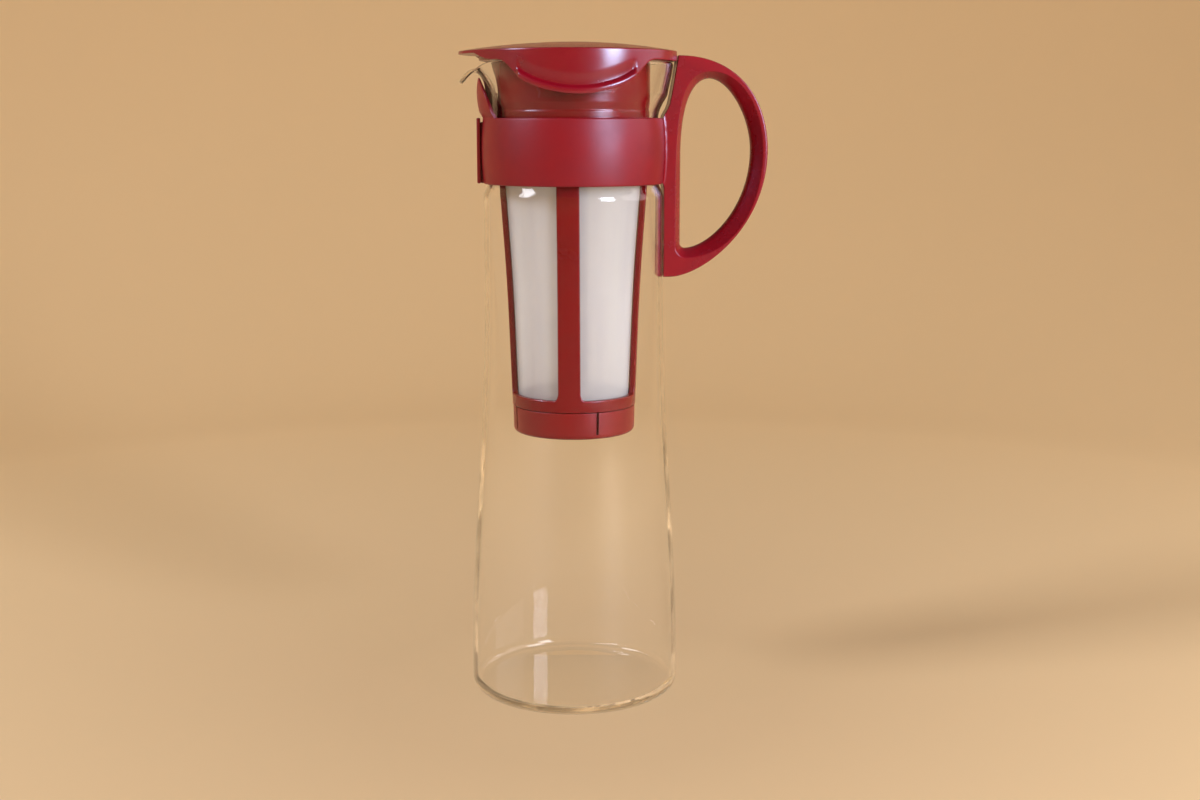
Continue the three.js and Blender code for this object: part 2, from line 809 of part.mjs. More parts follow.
// A window between two ribs, as a wedge from near the axis to well outside the frame
function windowSolid(turn) {
  const near = frameBottomRadius / 2;
  const far = flangeRadius * 2;
  const halfPitch = 180 / ribCount;
  const cornerSteps = 3;
  const sideAt = (z) => halfPitch - Math.asin(ribWidth / 2 / frameRadiusAt(z)) / degree;
  const outline = [];
  const corners = [[1, windowBottom, -90], [1, windowTop, 0], [-1, windowTop, 90], [-1, windowBottom, 180]];
  for (const [side, z, start] of corners) {
    const inwards = z === windowBottom ? windowCorner : -windowCorner;
    const middleZ = z + inwards;
    const perDegree = frameRadiusAt(z) * degree;
    const middleTurn = side * (sideAt(z) - windowCorner / perDegree);
    for (let i = 0; i <= cornerSteps; i += 1) {
      const angle = (start + i * 90 / cornerSteps) * degree;
      const turnHere = middleTurn + windowCorner * Math.cos(angle) / perDegree;
      outline.push([turnHere, middleZ + windowCorner * Math.sin(angle)]);
    }
  }
  const ringAt = (radius) => outline.map(([t, z]) => {
    const angle = (turn + t) * degree;
    return [radius * Math.cos(angle), radius * Math.sin(angle), z];
  });
  return toSolid(loftBody([ringAt(near), ringAt(far)]));
}

// The direction of a rib, counted from the front
function ribDirection(i) {
  return front + ribTurn + i * 360 / ribCount;
}

function makeFrame() {
  let frame = toSolid(revolved(frameProfile, evenAngles(ringSteps)));
  for (let i = 0; i < ribCount; i += 1) {
    frame = frame.subtract(windowSolid(ribDirection(i + 0.5)));
  }
  return frame;
}

addPiece('strainer_frame', toGeometry(makeFrame()), redPlastic(0x7f1620, 0.4));

// Mesh sleeve: one tapered tube of fine mesh, held inside the frame
function meshProfile() {
  const outerAt = (z) => frameRadiusAt(z) - frameWall - pieceGap;
  const bottom = seamHeight + meshHold + pieceGap;
  const heights = [bottom, frameBendHeight, frameShoulderHeight, flangeTop - meshTopDepth];
  const outer = heights.map((z) => [outerAt(z), z]);
  const inner = heights.map((z) => [outerAt(z) - meshThickness, z]).reverse();
  return [...outer, ...inner];
}

addPiece('mesh_sleeve', revolved(meshProfile, evenAngles(ringSteps)), new THREE.MeshStandardMaterial({
  color: 0xd9d3d2, roughness: 0.8, metalness: 0,
}));

// Strainer cap: a shallow cup over the spigot, slit four times so that its rim springs
function capProfile() {
  const top = seamHeight - pieceGap;
  const bottom = seamHeight - capHeight;
  const cornerStart = [capBottomRadius - capCorner, bottom];
  const corner = quarter(cornerStart, [capBottomRadius, bottom + capCorner], roundShares, bendSteps);
  const floor = bottom + capWall;
  return [
    [0, bottom], ...corner,
    [capRadius, top],
    [capRadius - capWall, top],
    [capRadius - capWall - pieceGap / 2, floor + capWall],
    [capRadius - 2 * capWall, floor],
    [0, floor],
  ];
}

function makeCap() {
  let cap = toSolid(revolved(capProfile, evenAngles(ringSteps)));
  const top = seamHeight + overrun;
  for (let i = 0; i < capSlitCount; i += 1) {
    const slit = boxSolid(
      [capRadius - 2 * capWall, -capSlitWidth / 2, seamHeight - capSlitHeight],
      [capRadius + overrun, capSlitWidth / 2, top],
      front + capSlitTurn + i * 360 / capSlitCount,
    );
    cap = cap.subtract(slit);
  }
  return cap;
}

addPiece('strainer_cap', toGeometry(makeCap()), redPlastic(0x8c2223, 0.42));

// Lid: a low dome with a beak over the spout, an apron with a finger lip at the front and
// back, and a plug that fits the strainer's collar
function apronRiseAt(turn) {
  const share = Math.abs(turn) / apronHalfTurn;
  if (share >= 1) return 1;
  const i = apronTurnShares.findIndex((value) => value > share) - 1;
  const local = (share - apronTurnShares[i]) / (apronTurnShares[i + 1] - apronTurnShares[i]);
  return lerp(apronRiseShares[i], apronRiseShares[i + 1], local);
}

function lidProfile(angle) {
  const fromBeak = turnFrom(angle, spoutSide);
  const fromFront = turnFrom(angle, front);
  const fromBack = turnFrom(angle, rear);
  const turn = Math.abs(fromFront) < Math.abs(fromBack) ? fromFront : fromBack;
  const beak = swell(fromBeak, beakHalfTurn);
  const under = flangeTop + pieceGap;
  const cos = Math.cos(angle * degree);
  const round = cos > 0 ? Math.min(lidRadius, lidFlat / cos) : lidRadius;
  const radius = lerp(round, beakReach, beak);
  const side = lerp(skirtHeight, under + beakLift, Math.min(beak / beakRiseShare, 1));
  const low = lerp(apronHeight, side, apronRiseAt(turn));
  const lip = clamp((lipHalfTurn - Math.abs(turn)) / lipFadeTurn, 0, 1) * lipProud;
  const edgeHeight = lidRimHeight - lidEdge;
  const lipTop = low + Math.min(lipHeight, (edgeHeight - low) * lipRoomShare);
  const lipAt = (i) => [radius + lip * lipProudShares[i], lerp(low, lipTop, lipRiseShares[i])];
  const wall = Math.max(radius - lidWall, flangeRadius + pieceGap);
  const inside = lerp(wall, flangeRadius + pieceGap, beak);
  const domeAt = (share) => [radius * share, lidApex - (lidApex - lidRimHeight) * share * share];
  const plugRadius = collarBore - pieceGap;
  const plugBottom = under - plugDepth;
  return [
    [0, lidApex], ...domeShares.map(domeAt),
    [radius - lidEdge, lidRimHeight],
    [radius, edgeHeight],
    [radius, lipTop],
    lipAt(0),
    lipAt(1),
    [radius + lip - lidEdge / 2, low],
    [inside, low],
    [inside, under],
    [plugRadius, under],
    [plugRadius, plugBottom],
    [plugRadius - plugWall, plugBottom],
    [plugRadius - plugWall, under],
    [plugRadius * hollowShare, lidApex - lidPlate - hollowDrop],
    [0, lidApex - lidPlate],
  ];
}

const lidSteps = 72;
addPiece('lid', revolved(lidProfile, evenAngles(lidSteps)), redPlastic(0x8e1f38, 0.22));

export default group;
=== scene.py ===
"""Cold brew coffee maker: a glass carafe with a neck band and handle, a hanging strainer and a lid.

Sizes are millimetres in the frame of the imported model: +Z up from the carafe's base, +X towards
the handle and -X towards the spout. Meshes are worked out in millimetres and stored in metres.
"""
import math

import bmesh
import bpy
import numpy as np
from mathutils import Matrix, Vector


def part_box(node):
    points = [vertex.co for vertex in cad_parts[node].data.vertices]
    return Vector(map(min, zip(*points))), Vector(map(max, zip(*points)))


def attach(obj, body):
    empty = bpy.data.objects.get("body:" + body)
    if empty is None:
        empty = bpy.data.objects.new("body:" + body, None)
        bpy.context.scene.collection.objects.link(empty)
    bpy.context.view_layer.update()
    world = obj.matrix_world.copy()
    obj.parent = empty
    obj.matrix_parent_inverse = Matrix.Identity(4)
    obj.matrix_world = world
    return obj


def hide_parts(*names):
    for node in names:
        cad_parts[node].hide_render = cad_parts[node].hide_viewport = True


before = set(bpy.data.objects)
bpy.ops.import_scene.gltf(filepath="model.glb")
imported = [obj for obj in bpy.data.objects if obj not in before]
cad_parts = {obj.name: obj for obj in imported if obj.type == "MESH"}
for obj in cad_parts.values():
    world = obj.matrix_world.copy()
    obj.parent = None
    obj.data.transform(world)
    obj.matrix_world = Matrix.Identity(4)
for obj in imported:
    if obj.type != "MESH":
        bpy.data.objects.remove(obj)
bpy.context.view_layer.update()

MM = 0.001
MERGE_DISTANCE = 1e-3 * MM
SLIVER_LENGTH = 1e-4 * MM
SMOOTH_ANGLE = 38.0
FRONT, BACK, SPOUT = -90.0, 90.0, 180.0
ROUND_SHARES = (0.55, 0.55)
HALF_LEG_SHARE = 0.48
PIECE_GAP = 0.3
OVERRUN = 1.0

# Steps round a plain piece, along a small edge, and of the means that soften a bend
ROUND_STEPS = 240
EDGE_STEPS = 5
MEAN_POINTS = 5


def node_span(name, axis):
    """A node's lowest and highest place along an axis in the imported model, in millimetres."""
    low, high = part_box(name)
    return round(low[axis] / MM, 3), round(high[axis] / MM, 3)


# Carafe: heights are depths below the rim, and radii step in and out from the base's
BASE_RADIUS = node_span("glass_carafe", 1)[1]
CARAFE_HEIGHT = node_span("glass_carafe", 2)[1]
BASE_CORNER = 5.0
BASE_THICKNESS = 3.2
BASE_PUNT = 0.8
BASE_PUNT_SHARE = 0.93
GLASS_WALL = 2.1
BODY_TOP_RADIUS = BASE_RADIUS - 7.6
NECK_RADIUS = BODY_TOP_RADIUS - 2.5
FLARE_RADIUS = NECK_RADIUS + 4.1
RIM_RADIUS = FLARE_RADIUS + 2.4
BODY_TOP_HEIGHT = CARAFE_HEIGHT - 88.0
SHOULDER_HEIGHT = CARAFE_HEIGHT - 60.0
NECK_START_HEIGHT = CARAFE_HEIGHT - 49.5
NECK_TOP_HEIGHT = CARAFE_HEIGHT - 24.8
FLARE_HEIGHT = CARAFE_HEIGHT - 14.0
BODY_PULL_SHARES = (0.36, 0.565)
SHOULDER_BEND_SHARE = 0.43
FLARE_LOW_SHARES = (0.42, 0.72)
FLARE_HIGH_SHARES = (0.25, 0.8)
CARAFE_STEPS = 288
CORNER_STEPS, BODY_STEPS, RUN_STEPS, BEND_STEPS = 12, 48, 6, 18
RIM_POINTS, PUNT_POINTS, DISH_POINTS = 13, 14, 8

# Spout
SPOUT_REACH = RIM_RADIUS + 5.9
SPOUT_TIP_HEIGHT = CARAFE_HEIGHT - 8.4
THROAT_RADIUS = NECK_RADIUS + 1.2
THROAT_HEIGHT = CARAFE_HEIGHT - 12.0
SPOUT_ROLL_HEIGHT = CARAFE_HEIGHT - 2.8
SPOUT_ROLL_NEAR = THROAT_RADIUS + 0.7
SPOUT_ROLL_FAR = SPOUT_REACH - 5.2
SPOUT_HALF_TURN = 40.0
SPOUT_DROP_POWER = 1.3
SPOUT_THROAT_SHARES = (0.4, 0.7)
SPOUT_EDGE_SHARES = (0.87, 0.25)

# Neck band with its tab, and the catch
BAND_BOTTOM, TAB_TOP = node_span("neck_band", 2)
BAND_TOP = TAB_TOP - 17.5
BAND_CROWN = 0.9
BAND_EDGE = 0.7
BAND_RELIEF = 1.1
BAND_RELIEF_HEIGHT = 3.0
BAND_TOP_RELIEF = 0.4
BAND_INNER = NECK_RADIUS + PIECE_GAP
BAND_OUTER = BAND_INNER + 2.5
BAND_MIDDLE = (BAND_BOTTOM + BAND_TOP) / 2
TAB_TIP_WALL = 0.9
TAB_WALL = 1.6
TAB_HALF_TURN = 29.0
TAB_LEAN = 2.6
TAB_ROOT_SHARE = 0.35
TAB_ROOT_PACE = 6
TAB_BOW_SHARE = 0.8
TAB_ROOT = 1.5
TAB_BLEND = 2.2
TAB_NO_RISE = 1e-6
TAB_ROUNDNESS = 2.0
TAB_EDGE = 0.35
TAB_CREST_SHARE = 0.3
BAND_STEPS, TAB_STEPS = 240, 80
BAND_POINTS, TAB_POINTS = 20, 16
BAND_GAP_HALF = 2.0
CATCH_HALF_WIDTH = 4.6
CATCH_PROUD = 1.6
CATCH_CORNER = 0.8
CATCH_BACK_CORNER = 0.25
CATCH_EDGE = 0.5
STEM_CORNER, STEM_ROOT_CORNER = 0.2, 0.1

# Handle
HANDLE_HALF = node_span("handle", 1)[1]
HANDLE_BOTTOM, HANDLE_TOP = node_span("handle", 2)
HANDLE_REACH = node_span("handle", 0)[1]
HANDLE_WIDE_HEIGHT = HANDLE_TOP - 42.1
HANDLE_FOOT_RADIUS = BODY_TOP_RADIUS + 2.5
HANDLE_FACE_SPINE = BAND_OUTER + 4.7
HANDLE_PEAK_RADIUS = HANDLE_FACE_SPINE + 15.5
HANDLE_SOLE_RADIUS = HANDLE_FACE_SPINE + 5.0
HANDLE_EDGE = 1.1
HANDLE_BACK_EDGE = 0.8
HANDLE_BACK_GAP = -0.15
HANDLE_FILLET = 1.3
HANDLE_RIM_GAP = 2.4
HANDLE_FLARE_GAP = 1.9
HANDLE_THROAT_GAP = 3.5
HANDLE_BAND_LEAD = 1.2
HANDLE_THROAT_SHARES = (0.35, 0.555)
HANDLE_TOP_SHARES = (0.68, 0.525)
HANDLE_BOW_SHARES = (0.33, 0.615)

# The two loops round the opening: top, bottom, reach, spine, the share of the height where the knee
# lies, and the pulls of the curves on the spine side, the far side above and the far side below
HANDLE_FACE = (
    HANDLE_TOP - 7.0, HANDLE_BOTTOM + 8.8, HANDLE_REACH - 2.2, HANDLE_FACE_SPINE, 0.37,
    ((0.83, 0.72), (0.574, 0.548), (0.57, 0.59)),
)
HANDLE_RIDGE = (
    HANDLE_TOP - 10.0, HANDLE_BOTTOM + 12.7, HANDLE_REACH - 7.1, HANDLE_FACE_SPINE + 2.8, 0.555,
    ((0.65, 0.61), (0.446, 0.494), (0.36, 0.6)),
)

# The section inside the opening, and the steps along the outline and round the section
HANDLE_CREASE = 0.4
HANDLE_BEVEL_SHARE = 0.45
BACK_STEPS, ARCH_STEPS, BOW_STEPS, FOOT_STEPS, KNEE_STEPS = 60, 54, 60, 8, 8
HANDLE_EDGE_STEPS, FACE_STEPS, CREASE_STEPS, NOSE_POINTS = 6, 14, 4, 9

# Strainer frame: its depths are measured from the flange's top
FLANGE_TOP = node_span("strainer_frame", 2)[1]
FLANGE_RADIUS = RIM_RADIUS - 0.9
FLANGE_RELIEF_RADIUS = FLANGE_RADIUS - 1.8
FLANGE_RELIEF_TURN = 42.0
FLANGE_SEAT = 0.7
FLANGE_SEAT_WIDTH = 1.2
FLANGE_DRAFT = 0.1
FLANGE_BOTTOM = FLANGE_TOP - 2.0
COLLAR_RADIUS = NECK_RADIUS - GLASS_WALL - 1.55
COLLAR_BORE = COLLAR_RADIUS - 2.85
COLLAR_FOOT = FLANGE_TOP - 20.0
GROOVE_DEPTH = 0.6
GROOVE_HEIGHT = 3.4
FRAME_WALL = 2.6
FRAME_TOP_RADIUS = COLLAR_RADIUS - 0.25
FRAME_SHOULDER_HEIGHT = FLANGE_TOP - 45.4
FRAME_BEND_HEIGHT = FLANGE_TOP - 100.0
FRAME_BEND_SPREAD = 16.0
FRAME_BEND_RADIUS = FRAME_TOP_RADIUS - 3.85
FRAME_BOTTOM_RADIUS = FRAME_BEND_RADIUS - 2.05
SEAM_HEIGHT = FLANGE_TOP - 156.4
WINDOW_TOP = FLANGE_TOP - 47.0
WINDOW_BOTTOM = SEAM_HEIGHT + 5.3
WINDOW_CORNER = 2.6
WINDOW_EDGE = 0.55
CELL_BOTTOM = WINDOW_BOTTOM - 2.7
CELL_TOP = WINDOW_TOP + 3.0
RIB_WIDTH = 10.0
RIB_COUNT = 4
RIB_TURN = -6.8
SPIGOT_HEIGHT = 8.2
FRAME_HIGH_ROUNDING = (0, 1.0, 0.5, 0.5, 0.5, 1.0, 0.2, 0.2, 0.3, 0.6, 0.4, 1.0, 0)
FRAME_LOW_ROUNDING = (0, 0.3, 0.5, 0.4, 0.4, 0.2, 0.45, 0)
CELL_TURN_STEPS, CELL_RISE_STEPS = 72, 48
CELL_SHARES = (0.0, 0.3, 0.6, 0.85)
HALF_CORNER_STEPS = 8

# Mesh sleeve
MESH_THICKNESS = 0.8
MESH_HOLD = 1.6
MESH_TOP_HEIGHT = FLANGE_TOP - 29.0
MESH_POINTS = 52

# Strainer cap
CAP_HEIGHT = 12.5
CAP_RADIUS = FRAME_BOTTOM_RADIUS - 0.25
CAP_BOTTOM_RADIUS = CAP_RADIUS - 0.25
CAP_CORNER = 2.6
CAP_WALL = 1.9
CAP_EDGE = 0.3
CAP_EDGE_STEPS = 8
CAP_SLIT_TURN = 19.6
CAP_SLIT_COUNT = 4
CAP_SLIT_WIDTH = 1.2
CAP_SLIT_HEIGHT = 10.2
SPIGOT_RADIUS = CAP_RADIUS - CAP_WALL - PIECE_GAP
SPIGOT_BORE = SPIGOT_RADIUS - 1.7

# Lid: its heights are measured from the strainer's flange
LID_APEX = node_span("lid", 2)[1]
LID_RIM_HEIGHT = FLANGE_TOP + 1.8
LID_EDGE = 0.7
LID_RADIUS = RIM_RADIUS + 2.1
LID_FLAT = RIM_RADIUS + 0.7
LID_PLATE = 1.9
LID_WALL = 1.4
BEAK_REACH = SPOUT_REACH + 0.4
BEAK_HALF_TURN = 40.0
BEAK_LIFT = 0.2
BEAK_RISE_SHARE = 0.33
SKIRT_HEIGHT = FLANGE_TOP - 2.5
APRON_HEIGHT = FLANGE_TOP - 17.2
APRON_HALF_TURN = 46.0
LIP_HEIGHT = 3.6
LIP_PROUD = 1.8
LIP_HALF_TURN = 33.5
LIP_FADE_TURN = 3.0
LIP_ROOM_SHARE = 0.6
PLUG_DEPTH = 10.0
PLUG_WALL = 1.5
HOLLOW_DROP = 1.0
HOLLOW_SHARE = 0.5
LIP_UNDERCUT = 0.1
APRON_EDGE = 0.5
APRON_SPREAD = 0.06
DOME_POINTS = 24
DOME_MARGIN = 1.5
LID_STEPS = 540
LID_EDGE_STEPS = 6
LID_INNER_ROUNDING = (0.3, 0.05, 0.3, 0.4, 0.4, 1.0, 4.0, 0)

# The apron's lower edge: shares of its half turn, and of its rise to the skirt
APRON_TURN_SHARES = (0, 0.18, 0.36, 0.52, 0.65, 0.76, 0.87, 0.93, 1)
APRON_RISE_SHARES = (0, 0.03, 0.13, 0.26, 0.42, 0.61, 0.89, 0.97, 1)

# The lip's face from its root down: shares of its height, and of how far it stands out
LIP_RISE_SHARES = (1.0, 0.93, 0.85, 0.77, 0.69, 0.6, 0.48, 0.3, 0.12)
LIP_PROUD_SHARES = (0.0, 0.1, 0.3, 0.55, 0.78, 0.93, 1.0, 1.0, 0.94)

# The hollow over the lip, from its top down: shares of its height, and of its depth
SCOOP_HEIGHT = 6.0
SCOOP_DEPTH = 0.8
SCOOP_RISE_SHARES = (1.0, 0.85, 0.7, 0.5, 0.3, 0.12)
SCOOP_DEPTH_SHARES = (0.0, 0.05, 0.22, 0.55, 0.85, 1.0)


def lerp(a, b, share):
    return a + (b - a) * share


def smoothstep(share):
    share = np.clip(share, 0.0, 1.0)
    return share * share * (3 - 2 * share)


def turn_from(angle, direction):
    """The signed turn in degrees from a direction, between -180 and 180."""
    return (angle - direction + 180) % 360 - 180


def swell(turn, half_turn):
    """A smooth window: 1 at its middle, 0 from its half turn outwards."""
    share = min(abs(turn) / half_turn, 1.0)
    return math.cos(share * math.pi / 2) ** 2


def curve(start, pull_start, pull_end, end, steps):
    """Points along a cubic Bezier curve."""
    a, b, c, d = (np.array(p, float) for p in (start, pull_start, pull_end, end))
    t = np.linspace(0, 1, steps + 1)[:, None]
    return (1 - t) ** 3 * a + 3 * t * (1 - t) ** 2 * b + 3 * t**2 * (1 - t) * c + t**3 * d


def quarter(level, upright, steps, shares=ROUND_SHARES):
    """A quarter-round curve from a point with a level tangent to one with an upright tangent."""
    pull_level = (lerp(level[0], upright[0], shares[0]), level[1])
    pull_upright = (upright[0], lerp(upright[1], level[1], shares[1]))
    return curve(level, pull_level, pull_upright, upright, steps)


def straight(start, end, steps):
    return np.linspace(start, end, steps + 1)


def rounded(points, reaches, steps=4, closed=False):
    """An outline whose corners are turned into small curves, each reaching so far along its legs."""
    points = [np.array(p, float) for p in points]
    path = []
    last = len(points) - 1
    for i, corner in enumerate(points):
        reach = reaches[i]
        if reach == 0 or (not closed and i in (0, last)):
            path.append(corner)
            continue
        legs = [points[i - 1] - corner, points[(i + 1) % len(points)] - corner]
        ends = []
        for leg in legs:
            length = max(np.linalg.norm(leg), 1e-9)
            ends.append(corner + leg * min(reach / length, HALF_LEG_SHARE))
        for t in np.linspace(0, 1, steps + 1):
            path.append((1 - t) ** 2 * ends[0] + 2 * t * (1 - t) * corner + t * t * ends[1])
    return np.array(path)


def offset_profile(points, distance):
    """The points of a profile moved to its left by a distance."""
    along = np.gradient(points, axis=0)
    along /= np.linalg.norm(along, axis=1)[:, None]
    return points + distance * np.stack([-along[:, 1], along[:, 0]], 1)


def even_angles(steps):
    return np.arange(steps) * 360.0 / steps


def cos_sin(degrees):
    return math.cos(math.radians(degrees)), math.sin(math.radians(degrees))


def revolved(profile, angles):
    """Cross-sections of a body of revolution, from one profile or from a function of the angle."""
    profile_at = profile if callable(profile) else lambda angle: profile
    sections = []
    for angle in angles:
        points = profile_at(angle)
        cos, sin = cos_sin(angle)
        sections.append(np.stack([points[:, 0] * cos, points[:, 0] * sin, points[:, 1]], 1))
    return np.array(sections)


def grid_faces(rows, columns, close_rows, close_columns, first=0):
    """Quads of a grid of vertices, joined end to end along its rows or columns where asked."""
    index = first + np.arange(rows * columns).reshape(rows, columns)
    if close_rows:
        index = np.vstack([index, index[:1]])
    if close_columns:
        index = np.hstack([index, index[:, :1]])
    corners = (index[:-1, :-1], index[1:, :-1], index[1:, 1:], index[:-1, 1:])
    return np.stack(corners, -1).reshape(-1, 4).tolist()


def new_object(name, data):
    holder = bpy.data.objects.new(name, data)
    bpy.context.scene.collection.objects.link(holder)
    return holder


def add_grid(vertices, faces, sections, close_rows, close_columns):
    """Adds a grid to the vertices and faces, and returns the numbers of its vertices."""
    rows, columns = sections.shape[:2]
    first = len(vertices)
    faces += grid_faces(rows, columns, close_rows, close_columns, first)
    vertices += sections.reshape(-1, 3).tolist()
    return (first + np.arange(rows * columns)).reshape(rows, columns)


def bare_object(name, vertices, faces):
    """An object from millimetre vertices, with equal ones merged and its faces turned outwards."""
    mesh = bpy.data.meshes.new(name)
    mesh.from_pydata((np.asarray(vertices, float) * MM).tolist(), [], faces)
    shape = bmesh.new()
    shape.from_mesh(mesh)
    bmesh.ops.remove_doubles(shape, verts=shape.verts, dist=MERGE_DISTANCE)
    bmesh.ops.dissolve_degenerate(shape, edges=shape.edges, dist=SLIVER_LENGTH)
    bmesh.ops.recalc_face_normals(shape, faces=shape.faces)
    if shape.calc_volume(signed=True) < 0:
        bmesh.ops.reverse_faces(shape, faces=shape.faces)
    shape.to_mesh(mesh)
    shape.free()
    return new_object(name, mesh)


def ring_object(name, sections):
    """An object from cross-sections that follow each other all the way round."""
    rows, columns = sections.shape[:2]
    return bare_object(name, sections.reshape(-1, 3), grid_faces(rows, columns, True, True))


def cut_box(piece, low, high, turn=0.0):
    """Cuts a box, from its lowest to its highest corner and turned about the pot's axis, out of a piece."""
    corners = [(x, y, z) for x in (low[0], high[0]) for y in (low[1], high[1]) for z in (low[2], high[2])]
    cos, sin = cos_sin(turn)
    turned = [(x * cos - y * sin, x * sin + y * cos, z) for x, y, z in corners]
    faces = [(0, 1, 3, 2), (4, 6, 7, 5), (0, 4, 5, 1), (2, 3, 7, 6), (0, 2, 6, 4), (1, 5, 7, 3)]
    cutter = bare_object("cutter", turned, faces)
    modifier = piece.modifiers.new("cut", "BOOLEAN")
    modifier.operation = "DIFFERENCE"
    modifier.solver = "EXACT"
    modifier.object = cutter
    bpy.context.view_layer.update()
    depsgraph = bpy.context.evaluated_depsgraph_get()
    mesh = bpy.data.meshes.new_from_object(piece.evaluated_get(depsgraph))
    piece.modifiers.clear()
    piece.data = mesh
    bpy.data.objects.remove(cutter)


def finish_piece(piece, body, node, slot):
    """Smooths a piece, dresses it, ties it to its body, and hides the node that it stands for."""
    piece.data.shade_smooth()
    piece.data.set_sharp_from_angle(angle=math.radians(SMOOTH_ANGLE))
    piece.data.materials.clear()
    piece.data.materials.append(materials[slot])
    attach(piece, body)
    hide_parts(node)


# Materials
def new_material(name):
    """A material without nodes, its node tree, and the tree's object coordinates."""
    material = bpy.data.materials.new(name)
    material.use_nodes = True
    tree = material.node_tree
    tree.nodes.clear()
    return material, tree, add_node(tree, "TexCoord").outputs["Object"]


def add_node(tree, kind, inputs=None, **settings):
    """A node with settings, and with values or links put on its inputs."""
    node = tree.nodes.new("ShaderNode" + kind)
    for key, value in settings.items():
        setattr(node, key, value)
    for key, value in (inputs or {}).items():
        if isinstance(value, bpy.types.NodeSocket):
            tree.links.new(value, node.inputs[key])
        else:
            node.inputs[key].default_value = value
    return node


def noise(tree, coordinates, scale, detail=2.0, roughness=0.5):
    inputs = {"Vector": coordinates, "Scale": scale, "Detail": detail, "Roughness": roughness}
    return add_node(tree, "TexNoise", inputs).outputs["Fac"]


def remap(tree, value, low, high, from_low=0.3, from_high=0.7):
    """A value's range from_low to from_high stretched to low to high."""
    inputs = {"Value": value, "From Min": from_low, "From Max": from_high, "To Min": low, "To Max": high}
    return add_node(tree, "MapRange", inputs, clamp=True).outputs["Result"]


def mix_colour(tree, share, first, second):
    return add_node(tree, "Mix", {0: share, 6: first, 7: second}, data_type="RGBA").outputs[2]


def mix_shaders(tree, share, first, second):
    return add_node(tree, "MixShader", {0: share, 1: first.outputs[0], 2: second.outputs[0]})


def calculated(tree, operation, *values):
    return add_node(tree, "Math", dict(enumerate(values)), operation=operation).outputs[0]


def bump(tree, height, strength, distance, **below):
    inputs = {"Height": height, "Strength": strength, "Distance": distance, **below}
    return add_node(tree, "Bump", inputs).outputs["Normal"]


def show(tree, shader):
    add_node(tree, "OutputMaterial", {"Surface": shader.outputs[0]})


def linear(red, green, blue):
    """A colour given as 0 to 255 display values, as the linear values that shaders read."""
    shares = [value / 255 for value in (red, green, blue)]
    return tuple(s / 12.92 if s <= 0.04045 else ((s + 0.055) / 1.055) ** 2.4 for s in shares) + (1.0,)


PLASTIC_SHEEN_TINT = (0.56, 0.72, 1.0, 1.0)


def plastic(name, colour, shade, roughness, spread, grain, sheen):
    """Moulded polypropylene: slow mottling in colour and gloss over a fine grain, and a cool sheen.

    The colour and its shade are display values from 0 to 255.
    """
    material, tree, place = new_material(name)
    colour, shade = linear(*colour), linear(*shade)
    mottle = noise(tree, place, scale=75.0, detail=4.0, roughness=0.6)
    cloud = noise(tree, place, scale=16.0)
    tint = mix_colour(tree, remap(tree, mottle, 0.0, 1.0), colour, shade)
    tint = mix_colour(tree, remap(tree, cloud, low=0.0, high=0.35), tint, shade)
    gloss = remap(tree, mottle, roughness - spread, roughness + spread)
    fine = noise(tree, place, scale=1700.0, detail=3.0, roughness=0.6)
    slow = noise(tree, place, scale=120.0)
    low_bump = bump(tree, slow, strength=0.06, distance=0.0004)
    normal = bump(tree, fine, grain, distance=0.00005, Normal=low_bump)
    show(tree, add_node(tree, "BsdfPrincipled", {
        "Base Color": tint, "Roughness": gloss, "IOR": 1.5, "Normal": normal,
        "Specular IOR Level": sheen, "Specular Tint": PLASTIC_SHEEN_TINT,
        "Subsurface Weight": 0.08, "Subsurface Radius": (0.003, 0.0006, 0.0006), "Subsurface Scale": 0.5,
    }))
    return material


# A ray that has met the glass so many times is caught in its wall, and is let out
TRAPPED_DEPTH = 3.5
POLISH_FOOT, POLISH_SHOULDER, POLISH_BODY = 0.95, 0.26, 0.06
POLISH_FOOT_SPAN = (0.112, 0.125)
POLISH_SHOULDER_SPAN = (0.006, 0.012)
GLASS_SHEEN_TINT = (0.5, 0.53, 0.6, 1.0)
GLASS_SHADOW_TINT = (0.99, 0.992, 0.988, 1.0)
WHITE = (1.0, 1.0, 1.0, 1.0)


def polish(tree, place):
    """The share of a bright clear coat over the glass: most on its foot and its shoulder."""
    height = add_node(tree, "SeparateXYZ", {"Vector": place}).outputs["Z"]
    foot = remap(tree, height, POLISH_FOOT, POLISH_BODY, *POLISH_FOOT_SPAN)
    middle = (SHOULDER_HEIGHT + NECK_START_HEIGHT) / 2 * MM
    away = calculated(tree, "ABSOLUTE", calculated(tree, "SUBTRACT", height, middle))
    shoulder = remap(tree, away, POLISH_SHOULDER, POLISH_BODY, *POLISH_SHOULDER_SPAN)
    return calculated(tree, "MAXIMUM", foot, shoulder)


